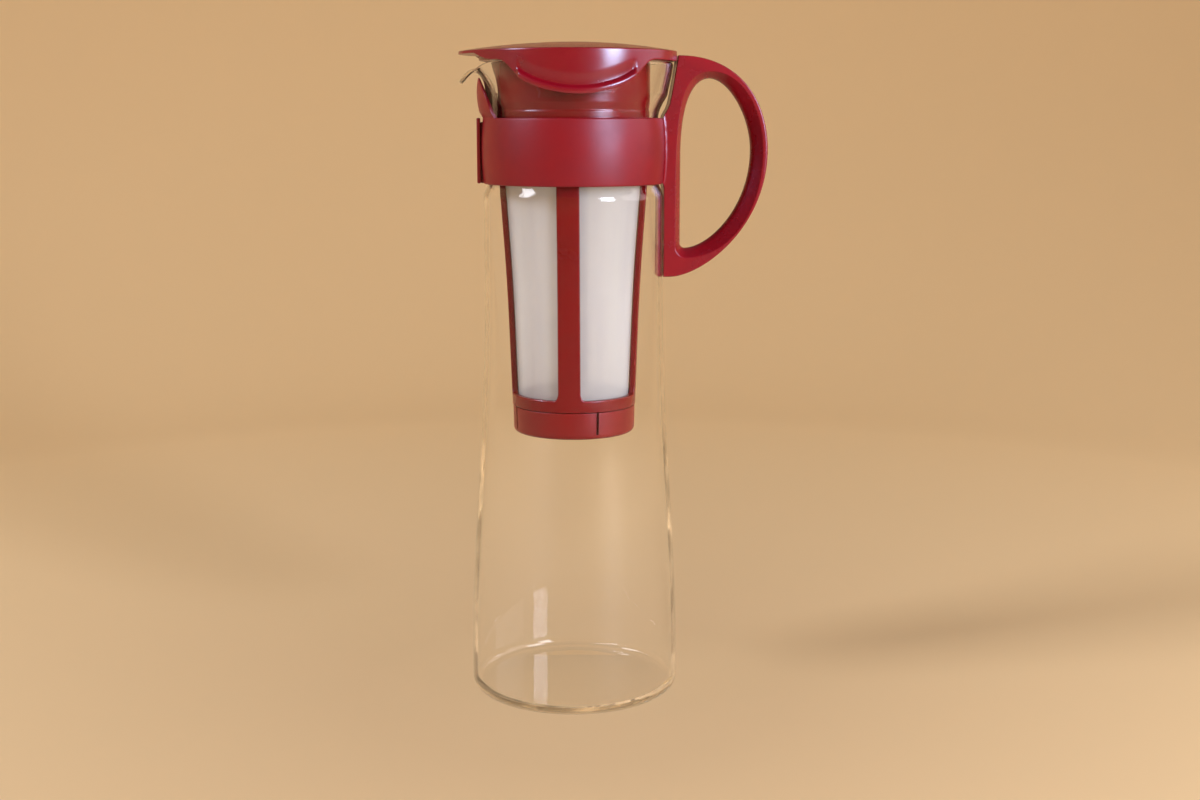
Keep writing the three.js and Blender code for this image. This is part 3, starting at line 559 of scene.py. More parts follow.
def clear_glass(name):
    """Blown borosilicate glass: faint waves and smears, and clear to light that falls through it."""
    material, tree, place = new_material(name)
    waves = noise(tree, place, scale=22.0, detail=1.0)
    dirt = noise(tree, place, scale=34.0, detail=5.0, roughness=0.7)
    smears = remap(tree, dirt, low=0.0, high=0.035, from_low=0.5, from_high=0.75)
    shader = add_node(tree, "BsdfPrincipled", {
        "Base Color": WHITE, "Roughness": smears, "IOR": 1.3,
        "Transmission Weight": 1.0, "Specular Tint": GLASS_SHEEN_TINT,
        "Coat Weight": polish(tree, place), "Coat Roughness": 0.02, "Coat IOR": 1.5,
        "Normal": bump(tree, waves, strength=0.04, distance=0.0012),
    })
    clear = add_node(tree, "BsdfTransparent", {"Color": GLASS_SHADOW_TINT})
    path = add_node(tree, "LightPath")
    passing = calculated(tree, "MAXIMUM", path.outputs["Is Shadow Ray"], path.outputs["Is Diffuse Ray"])
    trapped = calculated(tree, "GREATER_THAN", path.outputs["Ray Depth"], TRAPPED_DEPTH)
    show(tree, mix_shaders(tree, calculated(tree, "MAXIMUM", passing, trapped), shader, clear))
    return material


def bonded_share(tree, place):
    """1 where the mesh is moulded into the frame's ribs, ring and collar, and 0 in its windows."""
    turn = (0.0, 0.0, -math.radians(FRONT + RIB_TURN))
    turned = add_node(tree, "Mapping", {"Vector": place, "Rotation": turn}).outputs["Vector"]
    split = add_node(tree, "SeparateXYZ", {"Vector": turned}).outputs
    from_rib = calculated(tree, "MINIMUM", *(calculated(tree, "ABSOLUTE", split[axis]) for axis in "XY"))
    edge, soft = RIB_WIDTH / 2 * MM, WINDOW_EDGE * MM
    rib = remap(tree, from_rib, 1.0, 0.0, edge - soft, edge)
    ring = remap(tree, split["Z"], 1.0, 0.0, WINDOW_BOTTOM * MM - soft, WINDOW_BOTTOM * MM)
    collar = remap(tree, split["Z"], 0.0, 1.0, WINDOW_TOP * MM, WINDOW_TOP * MM + soft)
    return calculated(tree, "MAXIMUM", rib, calculated(tree, "MAXIMUM", ring, collar))


MESH_TINT, MESH_CLOUD_TINT = (0.92, 0.96, 1.0, 1.0), (0.87, 0.91, 0.96, 1.0)
# Painted shade: a darker, cooler tint in long upright streaks that stands in for the shade of folds in the
# sleeve
MESH_FOLD_SHADE_TINT = (0.8, 0.82, 0.92, 1.0)
MESH_BONDED_TINT = (0.26, 0.03, 0.05, 1.0)
MESH_FOLD_SHADE_STRETCH = 0.06
MESH_GLOW_SHARE = 0.55

# The share that is open, between the threads and on top of them
MESH_OPEN_SHARES = (0.59, 0.42)


def filter_mesh(name):
    """Fine woven polyester: milky, partly see-through, and dark where plastic is bonded to it, with long
    upright streaks of painted shade that stand in for shallow folds.
    """
    material, tree, place = new_material(name)
    cloud = noise(tree, place, scale=40.0, detail=3.0)
    # Painted fold shade: noise drawn out upright mixes in the darker, cooler tint
    drawn = add_node(tree, "Mapping", {"Vector": place, "Scale": (1.0, 1.0, MESH_FOLD_SHADE_STRETCH)})
    fold_shade = noise(tree, drawn.outputs["Vector"], scale=160.0)
    tint = mix_colour(tree, remap(tree, cloud, 0.0, 1.0), MESH_TINT, MESH_CLOUD_TINT)
    tint = mix_colour(tree, remap(tree, fold_shade, low=0.0, high=0.5), tint, MESH_FOLD_SHADE_TINT)
    tint = mix_colour(tree, bonded_share(tree, place), tint, MESH_BONDED_TINT)
    thread = {"Vector": place, "Scale": 900.0, "Distortion": 0.4}
    weave = calculated(tree, "MAXIMUM", *(
        add_node(tree, "TexWave", thread, wave_type="BANDS", bands_direction=axis).outputs["Fac"]
        for axis in "XZ"
    ))
    normal = bump(tree, weave, strength=0.25, distance=0.00005)
    inputs = {"Base Color": tint, "Roughness": 0.55, "IOR": 1.4, "Normal": normal}
    cloth = add_node(tree, "BsdfPrincipled", inputs)
    glow = add_node(tree, "BsdfTranslucent", {"Color": tint})
    lit = mix_shaders(tree, MESH_GLOW_SHARE, cloth, glow)
    clear = add_node(tree, "BsdfTransparent", {"Color": WHITE})
    show(tree, mix_shaders(tree, remap(tree, weave, *MESH_OPEN_SHARES, 0.0, 1.0), lit, clear))
    return material


# Each plastic's colour and shade, roughness and its spread, grain, and sheen
PLASTICS = {
    "band_plastic": ((132, 9, 20), (121, 8, 18), 0.42, 0.04, 0.6, 0.55),
    "catch_plastic": ((138, 18, 18), (122, 14, 15), 0.36, 0.05, 0.4, 0.6),
    "handle_plastic": ((142, 15, 30), (129, 12, 26), 0.26, 0.03, 0.4, 0.6),
    "frame_plastic": ((118, 5, 10), (110, 4, 9), 0.26, 0.015, 0.2, 0.42),
    "cap_plastic": ((126, 10, 12), (117, 9, 11), 0.34, 0.02, 0.25, 0.5),
    "lid_plastic": ((130, 3, 24), (121, 3, 20), 0.26, 0.02, 0.12, 0.95),
}
materials = {name: plastic(name, *looks) for name, looks in PLASTICS.items()}
materials |= {"glass": clear_glass("glass"), "mesh": filter_mesh("filter_mesh")}


# Glass carafe
def carafe_skin(flare):
    corner = quarter((BASE_RADIUS - BASE_CORNER, 0), (BASE_RADIUS, BASE_CORNER), CORNER_STEPS)
    rise = BODY_TOP_HEIGHT - BASE_CORNER
    body = curve(
        (BASE_RADIUS, BASE_CORNER),
        (BASE_RADIUS, BASE_CORNER + rise * BODY_PULL_SHARES[0]),
        (BODY_TOP_RADIUS, BASE_CORNER + rise * BODY_PULL_SHARES[1]),
        (BODY_TOP_RADIUS, BODY_TOP_HEIGHT), BODY_STEPS,
    )
    bend = lerp(SHOULDER_HEIGHT, NECK_START_HEIGHT, SHOULDER_BEND_SHARE)
    run = straight((BODY_TOP_RADIUS, BODY_TOP_HEIGHT), (BODY_TOP_RADIUS, SHOULDER_HEIGHT), RUN_STEPS)
    shoulder = curve(
        (BODY_TOP_RADIUS, SHOULDER_HEIGHT), (BODY_TOP_RADIUS, bend),
        (NECK_RADIUS, bend), (NECK_RADIUS, NECK_START_HEIGHT), BEND_STEPS,
    )
    neck = straight((NECK_RADIUS, NECK_START_HEIGHT), (NECK_RADIUS, NECK_TOP_HEIGHT), RUN_STEPS)
    return np.vstack([corner, body[1:], run[1:], shoulder[1:], neck[1:], flare[1:]])


def low_flare(radius, height, shares):
    """The glass's outer side from the neck's top out to a point."""
    bend, slope = shares
    return curve(
        (NECK_RADIUS, NECK_TOP_HEIGHT),
        (NECK_RADIUS, lerp(NECK_TOP_HEIGHT, height, bend)),
        (lerp(NECK_RADIUS, radius, slope), lerp(NECK_TOP_HEIGHT, height, slope)),
        (radius, height), BEND_STEPS,
    )


def plain_flare():
    rim_start = CARAFE_HEIGHT - GLASS_WALL / 2
    leave, arrive = FLARE_HIGH_SHARES
    upper = curve(
        (FLARE_RADIUS, FLARE_HEIGHT),
        (lerp(FLARE_RADIUS, RIM_RADIUS, leave), lerp(FLARE_HEIGHT, rim_start, leave)),
        (RIM_RADIUS, lerp(FLARE_HEIGHT, rim_start, arrive)),
        (RIM_RADIUS, rim_start), BEND_STEPS,
    )
    return np.vstack([low_flare(FLARE_RADIUS, FLARE_HEIGHT, FLARE_LOW_SHARES), upper[1:]])


def spout_flare():
    out_share, down_share = SPOUT_EDGE_SHARES
    upper = curve(
        (THROAT_RADIUS, THROAT_HEIGHT),
        (SPOUT_ROLL_NEAR, SPOUT_ROLL_HEIGHT), (SPOUT_ROLL_FAR, SPOUT_ROLL_HEIGHT),
        (SPOUT_REACH - GLASS_WALL * out_share, SPOUT_TIP_HEIGHT - GLASS_WALL * down_share),
        BEND_STEPS,
    )
    return np.vstack([low_flare(THROAT_RADIUS, THROAT_HEIGHT, SPOUT_THROAT_SHARES), upper[1:]])


def carafe_profile(flare):
    outer = carafe_skin(flare)
    inner = offset_profile(outer, GLASS_WALL)[CORNER_STEPS + 1:]
    middle = (outer[-1] + inner[-1]) / 2
    out = outer[-1] - middle
    up = np.array([-out[1], out[0]])
    arc = np.linspace(0, math.pi, RIM_POINTS)[1:-1, None]
    rim = middle + out * np.cos(arc) + up * np.sin(arc)
    floor_radius = BASE_RADIUS - BASE_CORNER
    floor_end = (BASE_RADIUS - GLASS_WALL, BASE_THICKNESS + BASE_CORNER)
    floor = quarter((floor_radius, BASE_THICKNESS), floor_end, CORNER_STEPS)
    punt_edge = floor_radius * BASE_PUNT_SHARE
    punt = [(share * punt_edge, BASE_PUNT * (1 - share**2)) for share in np.linspace(0, 1, PUNT_POINTS)]
    dish = [(share * floor_radius, BASE_THICKNESS) for share in np.linspace(1, 0, DISH_POINTS)][1:]
    return np.vstack([punt, outer, rim, inner[::-1], floor[::-1], dish])


def make_carafe():
    plain = carafe_profile(plain_flare())
    spout = carafe_profile(spout_flare())

    def profile_at(angle):
        share = swell(turn_from(angle, SPOUT), SPOUT_HALF_TURN)
        drop = share**SPOUT_DROP_POWER
        return np.stack([lerp(plain[:, 0], spout[:, 0], share), lerp(plain[:, 1], spout[:, 1], drop)], 1)

    piece = ring_object("carafe_glass", revolved(profile_at, even_angles(CARAFE_STEPS)))
    finish_piece(piece, "carafe", "glass_carafe", "glass")


make_carafe()


# Neck band
def band_radius_at(z):
    """The band's outer radius at a height, fullest half way up."""
    share = (z - BAND_MIDDLE) / (BAND_TOP - BAND_MIDDLE)
    return BAND_OUTER + BAND_CROWN / 2 - BAND_CROWN * share * share


def tab_top_at(turn):
    """The tab's top at a turn from the spout: a rounded arch that ends at the band's own top."""
    share = min(abs(turn) / TAB_HALF_TURN, 1.0)
    rise = (1 - share**TAB_ROUNDNESS) ** (1 / TAB_ROUNDNESS)
    return lerp(BAND_TOP, TAB_TOP, rise)


def tab_radius_at(z):
    share = min(max((z - BAND_TOP) / (TAB_TOP - BAND_TOP), 0.0), 1.0)
    root = TAB_ROOT_SHARE * smoothstep(share * TAB_ROOT_PACE)
    bow = lerp(math.sin(share * math.pi * TAB_BOW_SHARE), 1.0, root)
    return band_radius_at(BAND_TOP) + TAB_LEAN * bow


def band_edge(height, end):
    """The rounded edge from the band's lower or upper face to a point on its outer side."""
    return quarter((band_radius_at(height) - BAND_EDGE, height), end, EDGE_STEPS)


def band_profile_at(angle):
    """The band's section, whose top rises into the tab under the spout."""
    top = tab_top_at(turn_from(angle, SPOUT))
    rise = top - BAND_TOP
    heights = np.linspace(BAND_BOTTOM + BAND_EDGE, BAND_TOP - BAND_EDGE, BAND_POINTS)
    skin = [(band_radius_at(z), z) for z in heights]
    low_edge = band_edge(BAND_BOTTOM, skin[0])
    if rise < TAB_NO_RISE:
        high_edge = band_edge(BAND_TOP, skin[-1])[::-1]
        tail = np.repeat(high_edge[-1:], 2 * TAB_POINTS + 2, axis=0)
        shoulder = np.vstack([high_edge, tail])
    else:
        edge = min(TAB_EDGE, rise / 3)
        heights = np.linspace(BAND_TOP, top - edge, TAB_POINTS)
        outer = np.array([(tab_radius_at(z), z) for z in heights])
        blend = 1 - smoothstep((heights - BAND_TOP) / TAB_BLEND)
        outer[:, 0] += (band_radius_at(BAND_TOP) - outer[0, 0]) * blend
        wall = [lerp(TAB_WALL, TAB_TIP_WALL, (z - BAND_TOP) / (TAB_TOP - BAND_TOP)) for z in heights]
        inner = outer - np.stack([wall, np.zeros(TAB_POINTS)], 1)
        bevel = edge * TAB_CREST_SHARE
        crest = [
            (outer[-1, 0] - bevel, top - bevel), (outer[-1, 0] - edge, top),
            (inner[-1, 0] + edge, top), (inner[-1, 0] + bevel, top - bevel),
        ]
        root = straight(skin[-1], outer[0], 3)[1:-1]
        shoulder = np.vstack([root, outer, crest, inner[::-1], inner[:1], inner[:1]])
    inside = [
        (BAND_INNER + BAND_TOP_RELIEF, BAND_TOP),
        (BAND_INNER, BAND_TOP - BAND_RELIEF_HEIGHT),
        (BAND_INNER, BAND_BOTTOM + BAND_RELIEF_HEIGHT),
        (BAND_INNER + BAND_RELIEF, BAND_BOTTOM),
    ]
    return np.vstack([low_edge, skin[1:-1], shoulder, inside])


def make_band():
    plain = np.linspace(SPOUT + TAB_HALF_TURN, SPOUT - TAB_HALF_TURN + 360, BAND_STEPS + 1)
    bends = np.linspace(0, math.pi, TAB_STEPS + 1)[1:-1]
    tab = SPOUT - TAB_HALF_TURN * np.cos(bends)
    piece = ring_object("band_strap", revolved(band_profile_at, np.concatenate([plain, tab])))
    clear = BAND_OUTER + BAND_CROWN + TAB_LEAN + OVERRUN
    cut_box(
        piece,
        (-clear, -BAND_GAP_HALF, BAND_BOTTOM - OVERRUN),
        (-BAND_INNER + OVERRUN, BAND_GAP_HALF, BAND_TOP - TAB_ROOT),
    )
    finish_piece(piece, "carafe", "neck_band", "band_plastic")


make_band()


# Band catch
def edge_bends():
    """Inset and depth, as shares, of the points of a rounded edge from its outside in."""
    return [(1 - math.sin(a), 1 - math.cos(a)) for a in np.linspace(0, math.pi / 2, EDGE_STEPS + 1)]


def soft_prism(outline, low, high, soft):
    """Layers of a prism whose upper and lower edges are rounded."""
    away = outline - outline.mean(0)
    layers = [(soft * inset, soft * depth) for inset, depth in edge_bends()]
    heights = [low + depth for _, depth in layers] + [high - depth for _, depth in layers[::-1]]
    sections = []
    for (inset, _), z in zip(layers + layers[::-1], heights):
        ring = outline - np.sign(away) * np.minimum(inset, np.abs(away) / 2)
        sections.append(np.column_stack([ring, np.full(len(ring), z)]))
    return np.array(sections)


def make_catch():
    """A T-shaped key: its stem fills the band's gap, and its head lies on the band up to its top."""
    head = BAND_OUTER + BAND_CROWN / 2 + PIECE_GAP
    stem = BAND_INNER + PIECE_GAP
    stem_half = BAND_GAP_HALF - PIECE_GAP
    face = head + CATCH_PROUD
    low, stem_top = BAND_BOTTOM + PIECE_GAP, BAND_TOP - TAB_ROOT - PIECE_GAP
    head_outline = rounded(
        [
            (-head, -CATCH_HALF_WIDTH), (-head, CATCH_HALF_WIDTH),
            (-face, CATCH_HALF_WIDTH), (-face, -CATCH_HALF_WIDTH),
        ],
        [CATCH_BACK_CORNER, CATCH_BACK_CORNER, CATCH_CORNER, CATCH_CORNER],
        EDGE_STEPS, closed=True,
    )
    stem_outline = rounded(
        [(-stem, -stem_half), (-stem, stem_half), (-head, stem_half), (-head, -stem_half)],
        [STEM_CORNER, STEM_CORNER, STEM_ROOT_CORNER, STEM_ROOT_CORNER],
        EDGE_STEPS, closed=True,
    )
    vertices, faces = [], []
    for sections in (
        soft_prism(head_outline, low, BAND_TOP, CATCH_EDGE),
        soft_prism(stem_outline, low, stem_top, CATCH_EDGE),
    ):
        layers = add_grid(vertices, faces, sections, False, True)
        faces += [layers[0, ::-1].tolist(), layers[-1].tolist()]
    piece = bare_object("band_catch_key", vertices, faces)
    finish_piece(piece, "carafe", "band_catch", "catch_plastic")


make_catch()


# Handle
def saddle_radius_at(z):
    """How far out the handle's back lies at a height: along the glass, the band and the flare."""
    band = BAND_OUTER + BAND_CROWN / 2 + HANDLE_BACK_GAP
    glass = BODY_TOP_RADIUS + PIECE_GAP
    points = (
        (HANDLE_BOTTOM, glass),
        (BAND_BOTTOM - HANDLE_BAND_LEAD, glass),
        (BAND_BOTTOM - PIECE_GAP, band - BAND_CROWN),
        (BAND_MIDDLE, band),
        (BAND_TOP + PIECE_GAP, band - BAND_CROWN),
        (
            lerp(NECK_TOP_HEIGHT, FLARE_HEIGHT, HANDLE_THROAT_SHARES[1]),
            lerp(NECK_RADIUS, FLARE_RADIUS, HANDLE_THROAT_SHARES[0]) + HANDLE_THROAT_GAP,
        ),
        (FLARE_HEIGHT, FLARE_RADIUS + HANDLE_FLARE_GAP),
        ((FLARE_HEIGHT + CARAFE_HEIGHT) / 2, (FLARE_RADIUS + RIM_RADIUS) / 2 + HANDLE_FLARE_GAP),
        (HANDLE_TOP, RIM_RADIUS + HANDLE_RIM_GAP),
    )
    if BAND_BOTTOM <= z <= BAND_TOP:
        return band_radius_at(z) + HANDLE_BACK_GAP
    return float(np.interp(z, *zip(*points)))


def handle_outline():
    spine = NECK_RADIUS
    widest = (HANDLE_REACH, HANDLE_WIDE_HEIGHT)
    top_start = (HANDLE_FACE_SPINE + HANDLE_EDGE, HANDLE_TOP)
    foot_start = (HANDLE_FOOT_RADIUS, HANDLE_BOTTOM)
    back = straight((spine, HANDLE_BOTTOM), (spine, HANDLE_TOP), BACK_STEPS)
    arch = quarter(top_start, widest, ARCH_STEPS, HANDLE_TOP_SHARES)
    bow = quarter(foot_start, widest, BOW_STEPS, HANDLE_BOW_SHARES)[::-1]
    foot = straight(foot_start, (spine, HANDLE_BOTTOM), FOOT_STEPS)
    return np.vstack([back, arch, bow[1:], foot[1:]])


def opening_loop(top, bottom, reach, spine, knee_share, shares):
    """A loop round the finger opening, with as many points as the outline."""
    peak = (HANDLE_PEAK_RADIUS, top)
    sole = (HANDLE_SOLE_RADIUS, bottom)
    widest = (reach, HANDLE_WIDE_HEIGHT)
    knee = (spine, lerp(bottom, top, knee_share))
    heel = (spine, bottom + HANDLE_SOLE_RADIUS - spine)
    rise = straight(heel, knee, KNEE_STEPS)
    left = quarter(peak, knee, BACK_STEPS - KNEE_STEPS, shares[0])[::-1]
    right = quarter(peak, widest, ARCH_STEPS, shares[1])
    low = quarter(sole, widest, BOW_STEPS, shares[2])[::-1]
    foot = quarter(sole, heel, FOOT_STEPS)
    return np.vstack([rise, left[1:], right, low[1:], foot[1:]])


def handle_section(outer, face, ridge):
    """The cross-section at one station, round the outer edge and over the flat face.

    From the face's crisp edge a bevel falls off into the opening, and it ends in a rounded nose
    whose tip is the ridge.
    """
    inward = (face - outer) / np.linalg.norm(face - outer)
    half = []
    side = [(0.0, 0.0), (0.0, HANDLE_HALF), (HANDLE_HALF, HANDLE_HALF)]
    for depth, width in rounded(side, [0, HANDLE_EDGE, 0], HANDLE_EDGE_STEPS)[:-1]:
        point = outer + inward * depth
        half.append((point[0], width, point[1]))
    flat_end = face - inward * 2 * HANDLE_CREASE
    for share in np.linspace(0, 1, FACE_STEPS + 1)[1:-1]:
        point = lerp(outer + inward * HANDLE_EDGE, flat_end, share)
        half.append((point[0], HANDLE_HALF, point[1]))
    tip = face + (ridge - face) * 2 / (1 + HANDLE_BEVEL_SHARE)
    leave = lerp(face, tip, HANDLE_BEVEL_SHARE)
    leave_width = HANDLE_HALF * (1 - HANDLE_BEVEL_SHARE)
    half += rounded(
        [
            (flat_end[0], HANDLE_HALF, flat_end[1]), (face[0], HANDLE_HALF, face[1]),
            (leave[0], leave_width, leave[1]),
        ],
        [0, HANDLE_CREASE, 0], CREASE_STEPS,
    )[:-1].tolist()
    for t in np.linspace(0, 0.5, NOSE_POINTS):
        point = leave * ((1 - t) ** 2 + t * t) + tip * (2 * t * (1 - t))
        half.append((point[0], leave_width * (1 - 2 * t), point[1]))
    half = np.array(half)
    other = half[1:-1][::-1] * (1, -1, 1)
    return np.vstack([half, other])


def hug_saddle(points):
    """Fits the handle's back to glass and band, and lets its sides swell where they meet the band.

    What lies inside the saddle moves out to it. Beside the band the sides flow out in a hollow
    fillet, and elsewhere the back's edges are a little rounded.
    """
    for point in points.reshape(-1, 3):
        height, width = point[2], abs(point[1])
        radius = saddle_radius_at(height)
        above, below = height - BAND_BOTTOM, BAND_TOP - height
        beside = smoothstep(above / BAND_EDGE) * smoothstep(below / BAND_EDGE)
        round_off = smoothstep((width - HANDLE_HALF + HANDLE_BACK_EDGE) / HANDLE_BACK_EDGE) * (1 - beside)
        reach = math.sqrt(radius * radius - width**2) + HANDLE_BACK_EDGE * round_off / 2
        depth = max(point[0] - reach, 0.0)
        point[0] = reach + depth
        if depth < HANDLE_FILLET and width > HANDLE_HALF - HANDLE_EDGE:
            swelling = 1 - math.sqrt(1 - (1 - depth / HANDLE_FILLET) ** 2)
            point[1] += math.copysign(HANDLE_FILLET * swelling * beside, point[1])
    return points


def make_handle():
    loops = zip(handle_outline(), opening_loop(*HANDLE_FACE), opening_loop(*HANDLE_RIDGE))
    sections = np.array([handle_section(outer, face, ridge) for outer, face, ridge in loops])
    piece = ring_object("grip_loop", hug_saddle(sections))
    finish_piece(piece, "carafe", "handle", "handle_plastic")


make_handle()


# Strainer frame
def frame_radius_at(z):
    """The frame's outer radius below the collar: straight, then a long taper with a slight bend."""
    heights = (SEAM_HEIGHT, FRAME_BEND_HEIGHT, FRAME_SHOULDER_HEIGHT)
    radii = (FRAME_BOTTOM_RADIUS, FRAME_BEND_RADIUS, FRAME_TOP_RADIUS)
    near = min(max((z - SEAM_HEIGHT) / FRAME_BEND_SPREAD, 0.0), 1.0) * FRAME_BEND_SPREAD
    spread = np.linspace(-near, near, MEAN_POINTS)
    return float(np.mean(np.interp(z + spread, heights, radii)))


def frame_high_profile(angle):
    """From the windows' upper border up over the collar and flange and down inside again."""
    ease = math.sqrt(swell(turn_from(angle, SPOUT), FLANGE_RELIEF_TURN))
    edge = lerp(FLANGE_RADIUS, FLANGE_RELIEF_RADIUS, ease)
    seat_bottom = FLANGE_BOTTOM - lerp(FLANGE_SEAT, FLANGE_DRAFT, ease)
    seat_inner = edge - FLANGE_SEAT_WIDTH
    groove_foot = COLLAR_FOOT - GROOVE_HEIGHT
    return rounded(
        [
            (frame_radius_at(CELL_TOP), CELL_TOP),
            (FRAME_TOP_RADIUS, MESH_TOP_HEIGHT),
            (FRAME_TOP_RADIUS, groove_foot - GROOVE_DEPTH),
            (COLLAR_RADIUS - GROOVE_DEPTH, groove_foot),
            (COLLAR_RADIUS, COLLAR_FOOT),
            (COLLAR_RADIUS, FLANGE_BOTTOM),
            (seat_inner - FLANGE_SEAT, FLANGE_BOTTOM + FLANGE_DRAFT / 2),
            (seat_inner, seat_bottom),
            (edge, seat_bottom),
            (edge, FLANGE_TOP),
            (COLLAR_BORE, FLANGE_TOP),
            (FRAME_TOP_RADIUS - FRAME_WALL, MESH_TOP_HEIGHT),
            (frame_radius_at(CELL_TOP) - FRAME_WALL, CELL_TOP),
        ],
        FRAME_HIGH_ROUNDING, EDGE_STEPS,
    )


def frame_low_profile():
    """From the windows' lower border inside down round the spigot and up the outside."""
    spigot_end = SEAM_HEIGHT - SPIGOT_HEIGHT
    return rounded(
        [
            (frame_radius_at(CELL_BOTTOM) - FRAME_WALL, CELL_BOTTOM),
            (frame_radius_at(SEAM_HEIGHT + MESH_HOLD) - FRAME_WALL, SEAM_HEIGHT + MESH_HOLD),
            (SPIGOT_BORE, SEAM_HEIGHT),
            (SPIGOT_BORE, spigot_end),
            (SPIGOT_RADIUS, spigot_end),
            (SPIGOT_RADIUS, SEAM_HEIGHT),
            (FRAME_BOTTOM_RADIUS, SEAM_HEIGHT),
            (frame_radius_at(CELL_BOTTOM), CELL_BOTTOM),
        ],
        FRAME_LOW_ROUNDING, EDGE_STEPS,
    )


def window_outline(grow):
    """A window's outline in degrees from its middle and in height, grown outwards by a distance.

    It starts at the middle of its lower left corner and has as many points along each side as the
    border of its cell.
    """
    def side_at(z):
        return 180 / RIB_COUNT - math.degrees(math.asin(RIB_WIDTH / 2 / frame_radius_at(z)))

    corner = WINDOW_CORNER + grow
    low, high = WINDOW_BOTTOM - grow, WINDOW_TOP + grow
    per_degree = math.radians(1) * frame_radius_at((low + high) / 2)
    arcs = []
    for side, z, start in ((-1, low, 180), (1, low, 270), (1, high, 0), (-1, high, 90)):
        local = math.radians(1) * frame_radius_at(z)
        middle_turn = side * (side_at(z) + (grow - corner) / local)
        middle_z = z + corner if z == low else z - corner
        angles = np.radians(start + np.linspace(0, 90, 2 * HALF_CORNER_STEPS + 1))
        arcs.append(np.stack([
            middle_turn + corner * np.cos(angles) / local, middle_z + corner * np.sin(angles),
        ], 1))
    runs = []
    for i, steps in enumerate((CELL_TURN_STEPS, CELL_RISE_STEPS) * 2):
        run = np.vstack([arcs[i][HALF_CORNER_STEPS:], arcs[(i + 1) % 4][:HALF_CORNER_STEPS + 1]])
        legs = np.hypot(np.diff(run[:, 0]) * per_degree, np.diff(run[:, 1]))
        reach = np.concatenate([[0], np.cumsum(legs)])
        at = np.linspace(0, reach[-1], steps + 1)
        runs.append(np.stack([np.interp(at, reach, run[:, 0]), np.interp(at, reach, run[:, 1])], 1)[:-1])
    return np.vstack(runs)


def cell_border():
    half = 180 / RIB_COUNT
    corners = [(-half, CELL_BOTTOM), (half, CELL_BOTTOM), (half, CELL_TOP), (-half, CELL_TOP)]
    return np.vstack([
        straight(corners[i], corners[(i + 1) % 4], steps)[:-1]
        for i, steps in enumerate((CELL_TURN_STEPS, CELL_RISE_STEPS) * 2)
    ])


def window_loops():
    """Loops of (turn, height, depth) from a cell's outer border through the window to its inner one."""
    border = cell_border()
    grown = window_outline(WINDOW_EDGE)
    loops = [(lerp(border, grown, share), 0.0) for share in CELL_SHARES]
    loops += [(window_outline(WINDOW_EDGE * inset), WINDOW_EDGE * depth) for inset, depth in edge_bends()]
    return loops + [(outline, FRAME_WALL - depth) for outline, depth in loops[::-1]]


def rib_direction(i):
    return FRONT + RIB_TURN + i * 360 / RIB_COUNT


def make_frame():
    vertices, faces = [], []
    stations = rib_direction(0) + even_angles(CELL_TURN_STEPS * RIB_COUNT)
    for profile in (frame_high_profile, frame_low_profile()):
        add_grid(vertices, faces, revolved(profile, stations), True, False)
    loops = window_loops()
    for i in range(RIB_COUNT):
        middle = rib_direction(i + 0.5)
        sections = []
        for outline, depth in loops:
            angles = np.radians(middle + outline[:, 0])
            radii = np.array([frame_radius_at(z) for z in outline[:, 1]]) - depth
            sections.append(np.stack([radii * np.cos(angles), radii * np.sin(angles), outline[:, 1]], 1))
        add_grid(vertices, faces, np.array(sections), False, True)
    piece = bare_object("strainer_cage", vertices, faces)
    finish_piece(piece, "strainer", "strainer_frame", "frame_plastic")


make_frame()


# Mesh sleeve
def make_mesh():
    heights = np.linspace(SEAM_HEIGHT + MESH_HOLD + PIECE_GAP, MESH_TOP_HEIGHT, MESH_POINTS)
    outer = np.array([(frame_radius_at(z) - FRAME_WALL - PIECE_GAP, z) for z in heights])
    profile = np.vstack([outer, outer[::-1] - (MESH_THICKNESS, 0)])
    piece = ring_object("filter_sleeve", revolved(profile, even_angles(ROUND_STEPS)))
    finish_piece(piece, "strainer", "mesh_sleeve", "mesh")


make_mesh()


# Strainer cap
def cap_profile():
    top = SEAM_HEIGHT - PIECE_GAP
    bottom = SEAM_HEIGHT - CAP_HEIGHT
    floor = bottom + CAP_WALL
    return rounded(
        [
            (0, bottom), (CAP_BOTTOM_RADIUS, bottom), (CAP_RADIUS, top), (CAP_RADIUS - CAP_WALL, top),
            (CAP_RADIUS - CAP_WALL - PIECE_GAP / 2, floor), (0, floor),
        ],
        [0, CAP_CORNER, CAP_EDGE, CAP_EDGE, CAP_WALL, 0], CAP_EDGE_STEPS,
    )


def make_cap():
    piece = ring_object("strainer_end_cap", revolved(cap_profile(), even_angles(ROUND_STEPS)))
    for i in range(CAP_SLIT_COUNT):
        cut_box(
            piece,
            (CAP_RADIUS - 2 * CAP_WALL, -CAP_SLIT_WIDTH / 2, SEAM_HEIGHT - CAP_SLIT_HEIGHT),
            (CAP_RADIUS + OVERRUN, CAP_SLIT_WIDTH / 2, SEAM_HEIGHT + OVERRUN),
            FRONT + CAP_SLIT_TURN + i * 360 / CAP_SLIT_COUNT,
        )
    finish_piece(piece, "cap", "strainer_cap", "cap_plastic")


make_cap()


# Lid
def apron_rise_at(turn):
    """The share of its rise that the apron's lower edge has made at a turn from its middle."""
    share = abs(turn) / APRON_HALF_TURN
    if share >= 1:
        return 1.0
    spread = np.linspace(-APRON_SPREAD, APRON_SPREAD, MEAN_POINTS)
    return float(np.mean(np.interp(np.abs(share + spread), APRON_TURN_SHARES, APRON_RISE_SHARES)))


